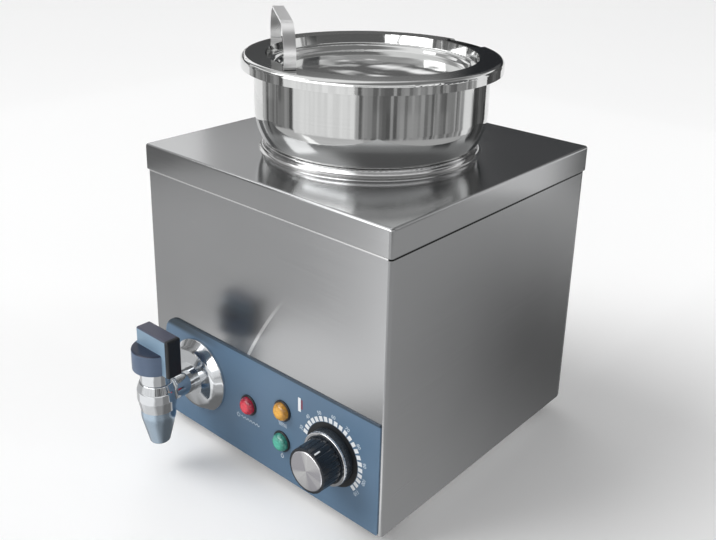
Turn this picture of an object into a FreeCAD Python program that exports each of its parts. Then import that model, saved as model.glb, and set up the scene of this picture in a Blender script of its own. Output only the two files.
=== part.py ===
import FreeCAD, Part
import math
import os
import Sketcher
from types import SimpleNamespace

Vector = FreeCAD.Vector
Rotation = FreeCAD.Rotation
Placement = FreeCAD.Placement

# A countertop wet-heat topping warmer: a square stainless box on rubber feet, with a water tank
# inside, a round pot that hangs in the water through a hole in the cover, a lid on the pot, a
# drain tap and a control panel at the front.
# Millimetres. The box's middle is on the Z axis apart from a shift to the back, which puts the
# origin under the middle of the whole outline. Front is -Y, right is +X, the floor is Z = 0.

# The driving sizes, which the sheet of the document holds.
SIZES = {
    # Box and its sheet metal
    "casing_width": 259.0,
    "casing_depth": 256.0,
    "casing_height": 240.4,
    "sheet_thickness": 1.0,
    "corner_bend": 3.0,
    "lip_width": 7.0,
    "back_lip_width": 12.0,
    "fit_gap": 0.3,
    "thread_gap": 0.1,
    "cut_overrun": 4.0,
    # Cover and the collar round its hole
    "cover_rim": 21.4,
    "cover_edge_radius": 2.0,
    "cover_foot_radius": 0.8,
    "collar_height": 7.0,
    "collar_width": 3.8,
    "collar_edge_radius": 1.5,
    "collar_flare": 4.5,
    "collar_flare_radius": 4.0,
    "collar_lip": 0.4,
    # Rubber feet and their screws
    "foot_height": 13.0,
    "foot_radius": 12.0,
    "foot_taper": 2.5,
    "foot_edge_radius": 1.2,
    "foot_inset": 20.0,
    "foot_screw_radius": 2.4,
    "foot_screw_length": 9.0,
    "screw_head_radius": 4.0,
    "screw_head_height": 2.2,
    "screw_head_edge": 1.0,
    "screw_slot_width": 1.0,
    "screw_slot_depth": 1.1,
    # Base plate
    "base_rim": 9.0,
    "vent_width": 5.0,
    "vent_length": 60.0,
    "vent_pitch": 14.0,
    "base_vent_across": 46.0,
    # Rear panel
    "rear_vent_up": 188.0,
    "rear_screw_inset": 7.0,
    "rear_screw_radius": 1.9,
    # Water tank
    "neck_share": 0.64453125,
    "neck_gap": 0.8,
    "tank_share": 0.80078125,
    "tank_wall": 1.0,
    "tank_floor": 38.0,
    "tank_floor_radius": 12.0,
    "tank_flange": 9.0,
    # Pot
    "pot_wall": 1.0,
    "pot_depth": 150.0,
    "pot_floor_radius": 16.0,
    "shoulder_ledge": 4.8,
    "shoulder_width": 7.1,
    "shoulder_rise": 13.5,
    "shoulder_radius": 50.0,
    "ledge_radius": 1.5,
    "belly_height": 54.5,
    "pot_rim_width": 7.6,
    "pot_rim_drop": 4.0,
    # Lid
    "lid_wall": 0.8,
    "lid_overhang": 2.7,
    "lid_rim_drop": 9.4,
    "lid_rim_edge": 3.6,
    "recess_margin": 3.5,
    "recess_depth": 9.0,
    "recess_taper": 1.6,
    "step_width": 6.0,
    "floor_drop": 4.5,
    "floor_taper": 3.0,
    "recess_edge": 2.0,
    "notch_angle": 75.0,
    "notch_width": 42.0,
    "notch_margin": 2.0,
    "notch_corner": 5.0,
    # Loop handle on the lid
    "handle_angle": -128.7,
    "handle_distance_share": 0.688,
    "handle_span_share": 1.194,
    "handle_rise": 32.0,
    "handle_width": 9.0,
    "handle_thickness": 1.8,
    "handle_crown_radius": 27.5,
    "handle_foot_bend": 1.2,
    "handle_tab": 8.0,
    # Control panel
    "panel_height": 93.5,
    "panel_right": 126.3,
    "panel_left": 115.0,
    "panel_foot": 0.6,
    "panel_thickness": 1.2,
    "panel_corner": 1.2,
    "panel_tap_corner": 18.0,
    # Lamps
    "red_lamp_across": -9.5,
    "red_lamp_up": 49.5,
    "orange_lamp_across": 29.2,
    "orange_lamp_up": 62.0,
    "green_lamp_across": 28.4,
    "green_lamp_up": 34.0,
    "lamp_lens_radius": 7.4,
    "lamp_lens_rise": 5.0,
    "lamp_lens_edge": 3.8,
    "lamp_bezel_radius": 8.8,
    "lamp_bezel_rise": 1.4,
    "lamp_barrel_radius": 6.0,
    "lamp_barrel_length": 17.0,
    # Thermostat and its knob
    "dial_across": 81.0,
    "dial_up": 48.0,
    "thermostat_radius": 19.0,
    "thermostat_depth": 25.0,
    "thermostat_edge": 2.0,
    "bush_radius": 5.0,
    "shaft_radius": 3.0,
    "running_gap": 0.06,
    "shaft_sunk": 12.0,
    "shaft_reach": 18.0,
    "skirt_gap": 0.5,
    "skirt_radius": 21.2,
    "skirt_height": 8.0,
    "trim_width": 2.2,
    "trim_height": 1.6,
    "knob_radius": 17.8,
    "knob_top_radius": 17.4,
    "knob_height": 17.7,
    "flute_radius": 1.5,
    "knob_cap_radius": 15.5,
    "knob_cap_height": 1.6,
    "knob_cap_edge": 0.7,
    # Bulb, its capillary tube and its clip
    "bulb_radius": 3.0,
    "bulb_length": 70.0,
    "bulb_back": -34.0,
    "capillary_radius": 1.0,
    "capillary_bend": 7.0,
    "clip_thickness": 0.8,
    "clip_length": 14.0,
    "clip_tab": 8.0,
    # Heating element
    "element_radius": 4.0,
    "element_ring_share": 0.60487805,
    "element_lift": 14.0,
    "element_bend": 9.0,
    "element_leg_across": 11.338262,
    "element_gap_angle": 46.0,
    "element_tail": 15.0,
    "element_nut_radius": 8.0,
    "element_nut_height": 5.0,
    # Over-heat cut-out
    "cutout_across": -30.0,
    "cutout_back": 8.0,
    "cutout_radius": 8.0,
    "cutout_flange_radius": 11.0,
    "cutout_flange_height": 1.2,
    "cutout_height": 9.0,
    "spade_width": 6.3,
    "spade_thickness": 0.8,
    "spade_length": 8.0,
    "spade_spacing": 9.0,
    # Terminal block
    "block_across": -70.0,
    "block_inset": 30.0,
    "block_length": 44.0,
    "block_width": 22.0,
    "block_height": 17.0,
    "block_step": 7.0,
    "block_pole_pitch": 13.0,
    "block_pole_radius": 3.2,
    "block_pole_depth": 8.0,
    # Cable gland at the back
    "gland_across": -84.0,
    "gland_up": 32.0,
    "gland_thread_radius": 8.0,
    "gland_bore_radius": 3.8,
    "gland_hex_flats": 22.0,
    "gland_hex_height": 5.0,
    "gland_cap_radius": 10.4,
    "gland_cap_top_radius": 6.6,
    "gland_cap_height": 11.0,
    "gland_cap_edge": 3.0,
    "gland_tail": 9.0,
    "gland_nut_height": 5.0,
    # Drain tap
    "tap_share": 0.68292683,
    "tap_up": 52.4,
    "tap_reach": 43.5,
    "shank_radius": 10.0,
    "shank_bore_radius": 6.8,
    "spud_wall": 3.6,
    "spud_inset": 21.0,
    "shank_engagement": 12.0,
    "lock_nut_flats": 30.0,
    "lock_nut_height": 7.0,
    "seal_width": 5.0,
    "seal_thickness": 2.0,
    "rose_radius": 32.0,
    "rose_edge": 2.2,
    "rose_dome_radius": 25.5,
    "rose_dome_height": 8.6,
    "rose_hub_radius": 14.5,
    "rose_height": 11.0,
    "body_radius": 16.2,
    "body_foot_radius": 14.2,
    "body_drop": 10.0,
    "body_belt": 8.0,
    "body_rise": 15.0,
    "body_neck_radius": 13.8,
    "outlet_radius": 6.5,
    "chamber_radius": 8.5,
    "spout_radius": 14.0,
    "spout_tip_radius": 8.0,
    "spout_length": 31.4,
    "spout_shoulder": 7.0,
    "spout_round": 22.0,
    "spout_tip_round": 3.0,
    "bonnet_radius": 13.2,
    "bonnet_height": 12.3,
    "bonnet_edge": 1.2,
    "stem_radius": 4.0,
    "stem_head_radius": 7.6,
    "stem_head_height": 4.0,
    "stem_grip": 16.0,
    # Tap handle
    "hub_radius": 18.6,
    "hub_height": 17.5,
    "hub_edge": 1.6,
    "lever_long": 25.0,
    "lever_short": 15.0,
    "lever_width": 13.2,
    "lever_height": 31.5,
    "lever_corner": 1.6,
    "lever_crown": 1.6,
}
FLUTE_COUNT = 24
REAR_VENT_COUNT = 7
BASE_VENT_COUNT = 7


class Size:
    """A value of the sheet, or one worked out from it, as a number and as the sheet's formula."""

    def __init__(self, number, formula):
        self.number = number
        self.formula = formula

    def __add__(self, other):
        return Size(self.number + other.number, f"({self.formula} + {other.formula})")

    def __sub__(self, other):
        return Size(self.number - other.number, f"({self.formula} - {other.formula})")

    def __neg__(self):
        return Size(-self.number, f"(0 - {self.formula})")

    def __mul__(self, other):
        if isinstance(other, Size):
            return Size(self.number * other.number, f"({self.formula} * {other.formula})")
        return Size(self.number * other, f"({self.formula} * {other:.9f})")

    def __truediv__(self, divisor):
        return Size(self.number / divisor, f"({self.formula} / {divisor})")


def root(square):
    return Size(math.sqrt(square.number), f"sqrt({square.formula})")


def smaller(first, second):
    return Size(min(first.number, second.number), f"min({first.formula}; {second.formula})")


NOUGHT = Size(0.0, "0")

document = FreeCAD.newDocument("topping_warmer")
sheet = document.addObject("Spreadsheet::Sheet", "Sizes")
for row, (name, number) in enumerate(SIZES.items(), start=1):
    sheet.set(f"A{row}", name)
    sheet.set(f"B{row}", str(number))
    sheet.setAlias(f"B{row}", name)
document.recompute()
size = SimpleNamespace(**{name: Size(number, f"Sizes.{name}") for name, number in SIZES.items()})

# Places that several pieces share. Heights are above the box's lower edge.
half_width = size.casing_width / 2
half_depth = size.casing_depth / 2
cover_top = size.casing_height + size.sheet_thickness
collar_top = cover_top + size.collar_height
ledge_level = collar_top + size.fit_gap
pot_floor = ledge_level - size.pot_depth
half_side = smaller(half_width, half_depth)
neck_radius = half_side * size.neck_share
belly_radius = neck_radius + size.shoulder_ledge + size.shoulder_width
pot_top = ledge_level + size.shoulder_rise + size.belly_height
lid_top = pot_top + size.fit_gap + size.lid_wall
recess_radius = neck_radius + size.recess_margin
lid_rim_radius = belly_radius + size.pot_rim_width + size.lid_overhang
handle_distance = lid_rim_radius * size.handle_distance_share
handle_span = lid_rim_radius * size.handle_span_share
tank_radius = half_side * size.tank_share
element_ring_radius = tank_radius * size.element_ring_share
tap_across = -(tank_radius * size.tap_share)
panel_face = half_depth + size.panel_thickness
tap_axis = panel_face + size.tap_reach
front_reach = tap_axis + size.hub_radius
rear_reach = half_depth + size.gland_hex_height + size.gland_cap_height
back_shift = (front_reach - rear_reach) / 2

# Turns that point a piece's own +Z out of the front or out of the back.
TO_FRONT = Rotation(Vector(1, 0, 0), 90)
TO_BACK = Rotation(Vector(1, 0, 0), -90)


def origin_part(body, role):
    return next(part for part in body.Origin.OriginFeatures if part.Role == role)


def new_body(label):
    body = document.addObject("PartDesign::Body", label)
    body.Label = label
    return body


def new_sketch(body, role, level=NOUGHT):
    """An empty sketch on a plane through the body's origin, or parallel to it."""
    sketch = body.newObject("Sketcher::SketchObject", "Sketch")
    sketch.AttachmentSupport = [(origin_part(body, role), "")]
    sketch.MapMode = "FlatFace"
    if level is not NOUGHT:
        sketch.AttachmentOffset = Placement(Vector(0, 0, level.number), Rotation())
        sketch.setExpression("AttachmentOffset.Base.z", level.formula)
    return sketch


def fix_point(sketch, geometry, end, across, up):
    """Ties one point of the sketch to its two coordinates."""
    for kind, value, axis in (("DistanceX", across, -2), ("DistanceY", up, -1)):
        if value is NOUGHT:
            sketch.addConstraint(Sketcher.Constraint("PointOnObject", geometry, end, axis))
        else:
            index = sketch.addConstraint(Sketcher.Constraint(kind, geometry, end, value.number))
            sketch.setExpression(f"Constraints[{index}]", value.formula)


def set_radius(sketch, geometry, radius):
    index = sketch.addConstraint(Sketcher.Constraint("Radius", geometry, radius.number))
    sketch.setExpression(f"Constraints[{index}]", radius.formula)


def outline(sketch, corners):
    """A closed outline through corners (across, up), or (across, up, radius) where rounded."""
    count = len(corners)
    spots = [Vector(corner[0].number, corner[1].number, 0) for corner in corners]
    ends = []
    for index, corner in enumerate(corners):
        spot = spots[index]
        before = (spots[index - 1] - spot).normalize()
        after = (spots[(index + 1) % count] - spot).normalize()
        if len(corner) == 2:
            ends.append((spot, spot, None))
            continue
        half_angle = before.getAngle(after) / 2
        back = corner[2].number / math.tan(half_angle)
        centre = spot + (before + after).normalize() * (corner[2].number / math.sin(half_angle))
        ends.append((spot + before * back, spot + after * back, centre))
    first = sketch.GeometryCount
    for index in range(count):
        sketch.addGeometry(Part.LineSegment(ends[index][1], ends[(index + 1) % count][0]))
    for index, corner in enumerate(corners):
        line_in = first + (index - 1) % count
        line_out = first + index
        if len(corner) == 2:
            sketch.addConstraint(Sketcher.Constraint("Coincident", line_in, 2, line_out, 1))
            fix_point(sketch, line_out, 1, corner[0], corner[1])
            continue
        enter, leave, centre = ends[index]
        left_turn = (spots[index] - enter).cross(leave - spots[index]).z > 0
        begin, finish = (enter, leave) if left_turn else (leave, enter)
        circle = Part.Circle(centre, Vector(0, 0, 1), corner[2].number)
        angles = [math.atan2(end.y - centre.y, end.x - centre.x) for end in (begin, finish)]
        arc = sketch.addGeometry(Part.ArcOfCircle(circle, *angles))
        enter_end, leave_end = (1, 2) if left_turn else (2, 1)
        sketch.addConstraint(Sketcher.Constraint("Tangent", line_in, 2, arc, enter_end))
        sketch.addConstraint(Sketcher.Constraint("Tangent", line_out, 1, arc, leave_end))
        set_radius(sketch, arc, corner[2])
        point = sketch.addGeometry(Part.Point(spots[index]), True)
        sketch.addConstraint(Sketcher.Constraint("PointOnObject", point, 1, line_in))
        sketch.addConstraint(Sketcher.Constraint("PointOnObject", point, 1, line_out))
        fix_point(sketch, point, 1, corner[0], corner[1])


def circle(sketch, across, up, radius):
    centre = Vector(across.number, up.number, 0)
    ring = sketch.addGeometry(Part.Circle(centre, Vector(0, 0, 1), radius.number))
    fix_point(sketch, ring, 3, across, up)
    set_radius(sketch, ring, radius)


def rectangle(sketch, low, high, radius=None):
    """A rectangle between two opposite corners, with all its corners rounded or none."""
    extra = () if radius is None else (radius,)
    outline(sketch, [
        (low[0], low[1], *extra),
        (high[0], low[1], *extra),
        (high[0], high[1], *extra),
        (low[0], high[1], *extra),
    ])


def pad(body, sketch, length, reverse=False):
    feature = body.newObject("PartDesign::Pad", "Pad")
    feature.Profile = sketch
    feature.Length = length.number
    feature.setExpression("Length", length.formula)
    feature.Reversed = reverse
    return feature


def pocket(body, sketch, length, reverse=False):
    """A cut against the sketch's own direction, or along it where reversed."""
    document.recompute()
    before = body.Shape.Volume
    feature = body.newObject("PartDesign::Pocket", "Pocket")
    feature.Profile = sketch
    feature.Length = length.number
    feature.setExpression("Length", length.formula)
    feature.Reversed = reverse
    document.recompute()
    if body.Shape.Volume >= before:
        raise ValueError(f"{body.Label}: a pocket cuts nothing")
    return feature


def revolve(body, sketch):
    feature = body.newObject("PartDesign::Revolution", "Revolution")
    feature.Profile = sketch
    feature.ReferenceAxis = (sketch, ["V_Axis"])
    feature.Angle = 360
    return feature


def fillet_level(body, level, radius, outside=(NOUGHT, NOUGHT)):
    """Rounds the edges that lie all at one height, where asked only those outside a rectangle."""
    document.recompute()
    base = body.Tip
    slack = Part.Precision.confusion() * 100
    names = []
    for index, edge in enumerate(base.Shape.Edges, start=1):
        box = edge.BoundBox
        beyond_side = max(-box.XMin, box.XMax) > outside[0].number
        beyond_end = max(-box.YMin, box.YMax) > outside[1].number
        level_edge = all(abs(vertex.Z - level.number) < slack for vertex in edge.Vertexes)
        if level_edge and (beyond_side or beyond_end):
            names.append(f"Edge{index}")
    feature = body.newObject("PartDesign::Fillet", "Fillet")
    feature.Base = (base, names)
    feature.Radius = radius.number
    feature.setExpression("Radius", radius.formula)
    return feature


def hollow(body, open_level, wall):
    """Leaves a wall of even thickness inside the solid, open at its flat face at one height."""
    document.recompute()
    base = body.Tip
    name = next(
        f"Face{index}" for index, face in enumerate(base.Shape.Faces, start=1)
        if isinstance(face.Surface, Part.Plane)
        and abs(face.BoundBox.ZMax - open_level.number) < Part.Precision.confusion() * 100
        and face.BoundBox.ZLength < wall.number / 2
    )
    feature = body.newObject("PartDesign::Thickness", "Thickness")
    feature.Base = (base, [name])
    feature.Value = wall.number
    feature.setExpression("Value", wall.formula)
    feature.Reversed = True
    return feature


def polar_pattern(body, feature, count):
    pattern = body.newObject("PartDesign::PolarPattern", "PolarPattern")
    pattern.Originals = [feature]
    pattern.Axis = (origin_part(body, "Z_Axis"), [""])
    pattern.Angle = 360
    pattern.Occurrences = count
    body.Tip = pattern


def row_pattern(body, feature, axis_role, pitch, count):
    pattern = body.newObject("PartDesign::LinearPattern", "LinearPattern")
    pattern.Originals = [feature]
    pattern.Direction = (origin_part(body, axis_role), [""])
    pattern.Length = pitch.number * (count - 1)
    pattern.setExpression("Length", (pitch * (count - 1)).formula)
    pattern.Occurrences = count
    body.Tip = pattern


def place(piece, across=NOUGHT, back=NOUGHT, up=NOUGHT, turn=None):
    """Puts a piece at a place counted from the middle of the box's lower edge."""
    spot = (across, back + back_shift, up + size.foot_height)
    piece.Placement = Placement(Vector(*[value.number for value in spot]), turn or Rotation())
    for axis, value in zip("xyz", spot):
        piece.setExpression(f"Placement.Base.{axis}", value.formula)
    return piece


def copies(label, original, spots, turn=None):
    """One node of separate solids: the same piece at each of the places."""
    links = []
    for index, spot in enumerate(spots, start=1):
        link = document.addObject("App::Link", f"{label}_{index}")
        link.LinkedObject = original
        links.append(place(link, *spot, turn=turn))
    group = document.addObject("Part::Compound", label)
    group.Label = label
    group.Links = links
    return group


def cylinder(radius, height, across=NOUGHT, back=NOUGHT, up=NOUGHT, turn=None):
    """A plain cylinder in the box's own frame, for joining or cutting."""
    piece = document.addObject("Part::Cylinder", "Cylinder")
    piece.setExpression("Radius", radius.formula)
    piece.setExpression("Height", height.formula)
    piece.Placement = Placement(Vector(across.number, back.number, up.number), turn or Rotation())
    for axis, value in zip("xyz", (across, back, up)):
        piece.setExpression(f"Placement.Base.{axis}", value.formula)
    return piece


def cut(base, tool, label="Cut"):
    piece = document.addObject("Part::Cut", label)
    piece.Base = base
    piece.Tool = tool
    return piece


def hexagon(sketch, flats):
    """A regular hexagon about the origin, by its width across the flats."""
    radius = flats / (2 * math.cos(math.pi / 6))
    corners = []
    for index in range(6):
        angle = math.pi / 6 + index * math.pi / 3
        corners.append((radius * math.cos(angle), radius * math.sin(angle)))
    outline(sketch, corners)


def corner_spots(inset, up):
    """Four places near the corners of the box."""
    across = half_width - inset
    back = half_depth - inset
    return [(across, back, up), (-across, back, up), (-across, -back, up), (across, -back, up)]


def bent_wire(points, bend):
    """Straight runs joined by arcs of one radius, as a wire is bent."""
    edges = []
    start = points[0]
    for index in range(1, len(points) - 1):
        corner = points[index]
        before = (points[index - 1] - corner).normalize()
        after = (points[index + 1] - corner).normalize()
        half_angle = before.getAngle(after) / 2
        back = bend / math.tan(half_angle)
        middle = corner + (before + after).normalize() * (bend / math.sin(half_angle) - bend)
        enter = corner + before * back
        leave = corner + after * back
        edges.append(Part.LineSegment(start, enter).toShape())
        edges.append(Part.Arc(enter, middle, leave).toShape())
        start = leave
    edges.append(Part.LineSegment(start, points[-1]).toShape())
    return edges


def tube(label, edges, radius):
    """A round rod along a path that begins with a straight run."""
    path = Part.Wire(edges)
    start = path.OrderedVertexes[0].Point
    direction = path.OrderedEdges[0].tangentAt(path.OrderedEdges[0].FirstParameter)
    section = Part.Wire([Part.Circle(start, direction, radius).toShape()])
    piece = document.addObject("Part::Feature", label)
    piece.Label = label
    piece.Shape = path.makePipeShell([section], True, False)
    return piece


# The box: one sheet folded round the front and both sides, with inward lips at the top, the
# bottom and the back, and holes for what goes through the front.

def front_holes(body, level, depth):
    """Cuts the holes of tap, lamps and thermostat through a sheet at the front."""
    holes = new_sketch(body, "XZ_Plane", level)
    circle(holes, tap_across, size.tap_up, size.shank_radius + size.fit_gap)
    circle(holes, size.dial_across, size.dial_up, size.bush_radius + size.fit_gap)
    for across, up in lamp_spots():
        circle(holes, across, up, size.lamp_barrel_radius + size.fit_gap)
    pocket(body, holes, depth)


def lamp_spots():
    return [
        (size.red_lamp_across, size.red_lamp_up),
        (size.orange_lamp_across, size.orange_lamp_up),
        (size.green_lamp_across, size.green_lamp_up),
    ]


def rear_screw_spots(back):
    """Six places down the two sides of the back."""
    across = half_width - size.rear_screw_inset
    low = size.sheet_thickness * 2 + size.base_rim + size.rear_screw_radius * 2
    high = size.casing_height - size.cover_rim - size.back_lip_width
    middle = (low + high) / 2
    return [(side, back, up) for side in (across, -across) for up in (low, middle, high)]


def make_outer_casing():
    body = new_body("outer_casing")
    wall = size.sheet_thickness
    bend = size.corner_bend
    inner_bend = bend - wall
    back = half_depth - wall
    lip = half_width - size.lip_width
    back_lip = half_width - size.back_lip_width
    walls = new_sketch(body, "XY_Plane")
    outline(walls, [
        (back_lip, back),
        (half_width, back, bend),
        (half_width, -half_depth, bend),
        (-half_width, -half_depth, bend),
        (-half_width, back, bend),
        (-back_lip, back),
        (-back_lip, back - wall),
        (-(half_width - wall), back - wall, inner_bend),
        (-(half_width - wall), -(half_depth - wall), inner_bend),
        (half_width - wall, -(half_depth - wall), inner_bend),
        (half_width - wall, back - wall, inner_bend),
        (back_lip, back - wall),
    ])
    pad(body, walls, size.casing_height)
    front_lip = half_depth - size.lip_width
    for level in (NOUGHT, size.casing_height - wall):
        lips = new_sketch(body, "XY_Plane", level)
        outline(lips, [
            (half_width - wall / 2, back - wall / 2),
            (lip, back - wall / 2),
            (lip, -front_lip),
            (-lip, -front_lip),
            (-lip, back - wall / 2),
            (-(half_width - wall / 2), back - wall / 2),
            (-(half_width - wall / 2), -(half_depth - wall / 2), inner_bend),
            (half_width - wall / 2, -(half_depth - wall / 2), inner_bend),
        ])
        pad(body, lips, wall)
    front_holes(body, half_depth, size.sheet_thickness + size.cut_overrun)
    screws = new_sketch(body, "XZ_Plane", -(back - wall - size.cut_overrun / 2))
    for across, _, up in rear_screw_spots(NOUGHT):
        circle(screws, across, up, size.rear_screw_radius + size.thread_gap)
    pocket(body, screws, wall + size.cut_overrun)
    return place(body)


# The back: a flat sheet screwed over the casing's back lips, with a row of vents and the hole
# of the cable gland.

def make_rear_panel():
    body = new_body("rear_panel")
    wall = size.sheet_thickness
    side = half_width - wall
    top = size.casing_height - wall
    face = new_sketch(body, "XZ_Plane", -(half_depth - wall))
    rectangle(face, (-side, NOUGHT), (side, top))
    pad(body, face, wall, reverse=True)
    depth = wall + size.cut_overrun
    holes = new_sketch(body, "XZ_Plane", -(half_depth - wall))
    circle(holes, size.gland_across, size.gland_up, size.gland_thread_radius + size.fit_gap)
    for across, _, up in rear_screw_spots(NOUGHT):
        circle(holes, across, up, size.rear_screw_radius + size.fit_gap)
    pocket(body, holes, depth)
    vent = new_sketch(body, "XZ_Plane", -(half_depth - wall))
    half_slot = size.vent_width / 2
    left = -(size.vent_pitch * ((REAR_VENT_COUNT - 1) / 2))
    rectangle(
        vent,
        (left - half_slot, size.rear_vent_up - size.vent_length / 2),
        (left + half_slot, size.rear_vent_up + size.vent_length / 2),
        half_slot * 0.98,
    )
    slot = pocket(body, vent, depth)
    row_pattern(body, slot, "X_Axis", size.vent_pitch, REAR_VENT_COUNT)
    return place(body)


# The bottom: a sheet with an upturned rim, lying on the casing's bottom lips, with vents, and
# the hole of each foot's screw.

def make_base_plate():
    body = new_body("base_plate")
    wall = size.sheet_thickness
    side = half_width - wall - size.fit_gap
    end = half_depth - wall * 2 - size.fit_gap
    floor = new_sketch(body, "XY_Plane", wall)
    rectangle(floor, (-side, -end), (side, end), size.corner_bend)
    pad(body, floor, wall + size.base_rim)
    inside = new_sketch(body, "XY_Plane", wall * 2 + size.base_rim)
    rectangle(inside, (-(side - wall), -(end - wall)), (side - wall, end - wall), size.corner_bend - wall)
    pocket(body, inside, size.base_rim)
    holes = new_sketch(body, "XY_Plane", wall * 2)
    for across, back, _ in corner_spots(size.foot_inset, NOUGHT):
        circle(holes, across, back, size.foot_screw_radius + size.fit_gap)
    pocket(body, holes, wall + size.cut_overrun)
    half_slot = size.vent_width / 2
    front = -(size.vent_pitch * ((BASE_VENT_COUNT - 1) / 2))
    vents = new_sketch(body, "XY_Plane", wall * 2)
    for middle in (size.base_vent_across, -size.base_vent_across):
        rectangle(
            vents,
            (middle - size.vent_length / 2, front - half_slot),
            (middle + size.vent_length / 2, front + half_slot),
            half_slot * 0.98,
        )
    slots = pocket(body, vents, wall + size.cut_overrun)
    row_pattern(body, slots, "Y_Axis", size.vent_pitch, BASE_VENT_COUNT)
    return place(body)


# Feet: moulded rubber cones, each held to the base plate by a screw from inside.

def make_feet():
    foot = new_body("Foot")
    height = size.foot_height + size.sheet_thickness
    shape = new_sketch(foot, "XZ_Plane")
    outline(shape, [
        (NOUGHT, NOUGHT),
        (size.foot_radius - size.foot_taper, NOUGHT, size.foot_edge_radius),
        (size.foot_radius, height),
        (size.foot_screw_radius + size.thread_gap, height),
        (size.foot_screw_radius + size.thread_gap, height - size.foot_screw_length),
        (NOUGHT, height - size.foot_screw_length),
    ])
    revolve(foot, shape)
    return copies("feet", foot, corner_spots(size.foot_inset, -size.foot_height))


def make_pan_screw(label, radius, length):
    """A pan-head screw with its head upwards from zero, its shank below, and a cross recess."""
    body = new_body(label)
    shape = new_sketch(body, "XZ_Plane")
    outline(shape, [
        (NOUGHT, -length),
        (radius, -length),
        (radius, NOUGHT),
        (size.screw_head_radius, NOUGHT),
        (size.screw_head_radius, size.screw_head_height, size.screw_head_edge),
        (NOUGHT, size.screw_head_height),
    ])
    revolve(body, shape)
    half_slot = size.screw_slot_width / 2
    reach = size.screw_head_radius * 0.6
    cross = new_sketch(body, "XY_Plane", size.screw_head_height)
    outline(cross, [
        (half_slot, half_slot), (half_slot, reach), (-half_slot, reach), (-half_slot, half_slot),
        (-reach, half_slot), (-reach, -half_slot), (-half_slot, -half_slot), (-half_slot, -reach),
        (half_slot, -reach), (half_slot, -half_slot), (reach, -half_slot), (reach, half_slot),
    ])
    pocket(body, cross, size.screw_slot_depth)
    return body


def make_foot_screws():
    screw = make_pan_screw("FootScrew", size.foot_screw_radius, size.foot_screw_length)
    return copies("foot_screws", screw, corner_spots(size.foot_inset, size.sheet_thickness * 2))


def make_rear_screws():
    length = size.sheet_thickness * 3 + size.cut_overrun
    screw = make_pan_screw("RearScrew", size.rear_screw_radius, length)
    return copies("rear_screws", screw, rear_screw_spots(half_depth), turn=TO_BACK)


# The cover: a square pan turned over the top of the casing, its hole ringed by a raised collar
# with a flared foot. The collar carries the pot's shoulder.

def make_top_cover():
    body = new_body("top_cover")
    side = half_width + size.fit_gap + size.sheet_thickness
    end = half_depth + size.fit_gap + size.sheet_thickness
    rim_level = cover_top - size.cover_rim
    block = new_sketch(body, "XY_Plane", rim_level)
    rectangle(block, (-side, -end), (side, end), size.corner_bend)
    pad(body, block, size.cover_rim)
    hollow(body, rim_level, size.sheet_thickness)
    fillet_level(body, cover_top, size.cover_edge_radius)
    inside = (side - size.sheet_thickness / 2, end - size.sheet_thickness / 2)
    fillet_level(body, rim_level, size.cover_foot_radius, outside=inside)
    hole = new_sketch(body, "XY_Plane", cover_top)
    circle(hole, NOUGHT, NOUGHT, neck_radius + size.neck_gap)
    pocket(body, hole, size.sheet_thickness + size.cut_overrun)
    return place(body)


def make_collar_ring():
    body = new_body("collar_ring")
    inner = neck_radius + size.neck_gap
    outer = inner + size.collar_width
    ring = new_sketch(body, "XZ_Plane")
    outline(ring, [
        (inner, cover_top),
        (outer + size.collar_flare, cover_top),
        (outer + size.collar_flare, cover_top + size.collar_lip),
        (outer, cover_top + size.collar_lip, size.collar_flare_radius),
        (outer, collar_top, size.collar_edge_radius),
        (inner, collar_top, size.collar_edge_radius / 2),
    ])
    revolve(body, ring)
    return place(body)


# The water tank: a drawn round tub welded under the cover by its flange, with the holes of the
# drain and of the element's two legs.

def element_legs():
    """How far the element's two legs stand from its middle line, and how far back."""
    half_gap = math.radians(size.element_gap_angle.number) / 2
    lead = (element_ring_radius * math.sin(half_gap) - size.element_leg_across) / math.cos(half_gap)
    back = element_ring_radius * math.cos(half_gap) + lead * math.sin(half_gap)
    return size.element_leg_across, back


def element_leg_spots():
    """Where the two legs of the element go down through the tank's floor."""
    across, back = element_legs()
    spots = []
    for side in (1, -1):
        spots.append(Vector(
            side * across.number,
            back.number,
            0,
        ))
    return spots


def make_water_tank():
    body = new_body("water_tank")
    top = size.casing_height
    shape = new_sketch(body, "XZ_Plane")
    outline(shape, [
        (NOUGHT, size.tank_floor),
        (tank_radius, size.tank_floor, size.tank_floor_radius),
        (tank_radius, top),
        (NOUGHT, top),
    ])
    revolve(body, shape)
    hollow(body, top, size.tank_wall)
    flange = new_sketch(body, "XZ_Plane")
    rectangle(
        flange,
        (tank_radius - size.tank_wall / 2, top - size.tank_wall),
        (tank_radius + size.tank_flange, top),
    )
    revolve(body, flange)
    drain = new_sketch(body, "XZ_Plane", tank_radius + size.cut_overrun)
    circle(drain, tap_across, size.tap_up, size.shank_radius)
    pocket(body, drain, tank_radius + size.cut_overrun)
    legs = new_sketch(body, "XY_Plane", size.tank_floor + size.tank_wall)
    across, back = element_legs()
    for side in (across, -across):
        circle(legs, side, back, size.element_radius + size.fit_gap)
    pocket(body, legs, size.tank_wall + size.cut_overrun)
    return place(body)


# The element: a sheathed rod bent to an open ring low in the water, its two legs turned down
# through the tank's floor and held there by nuts.

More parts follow.
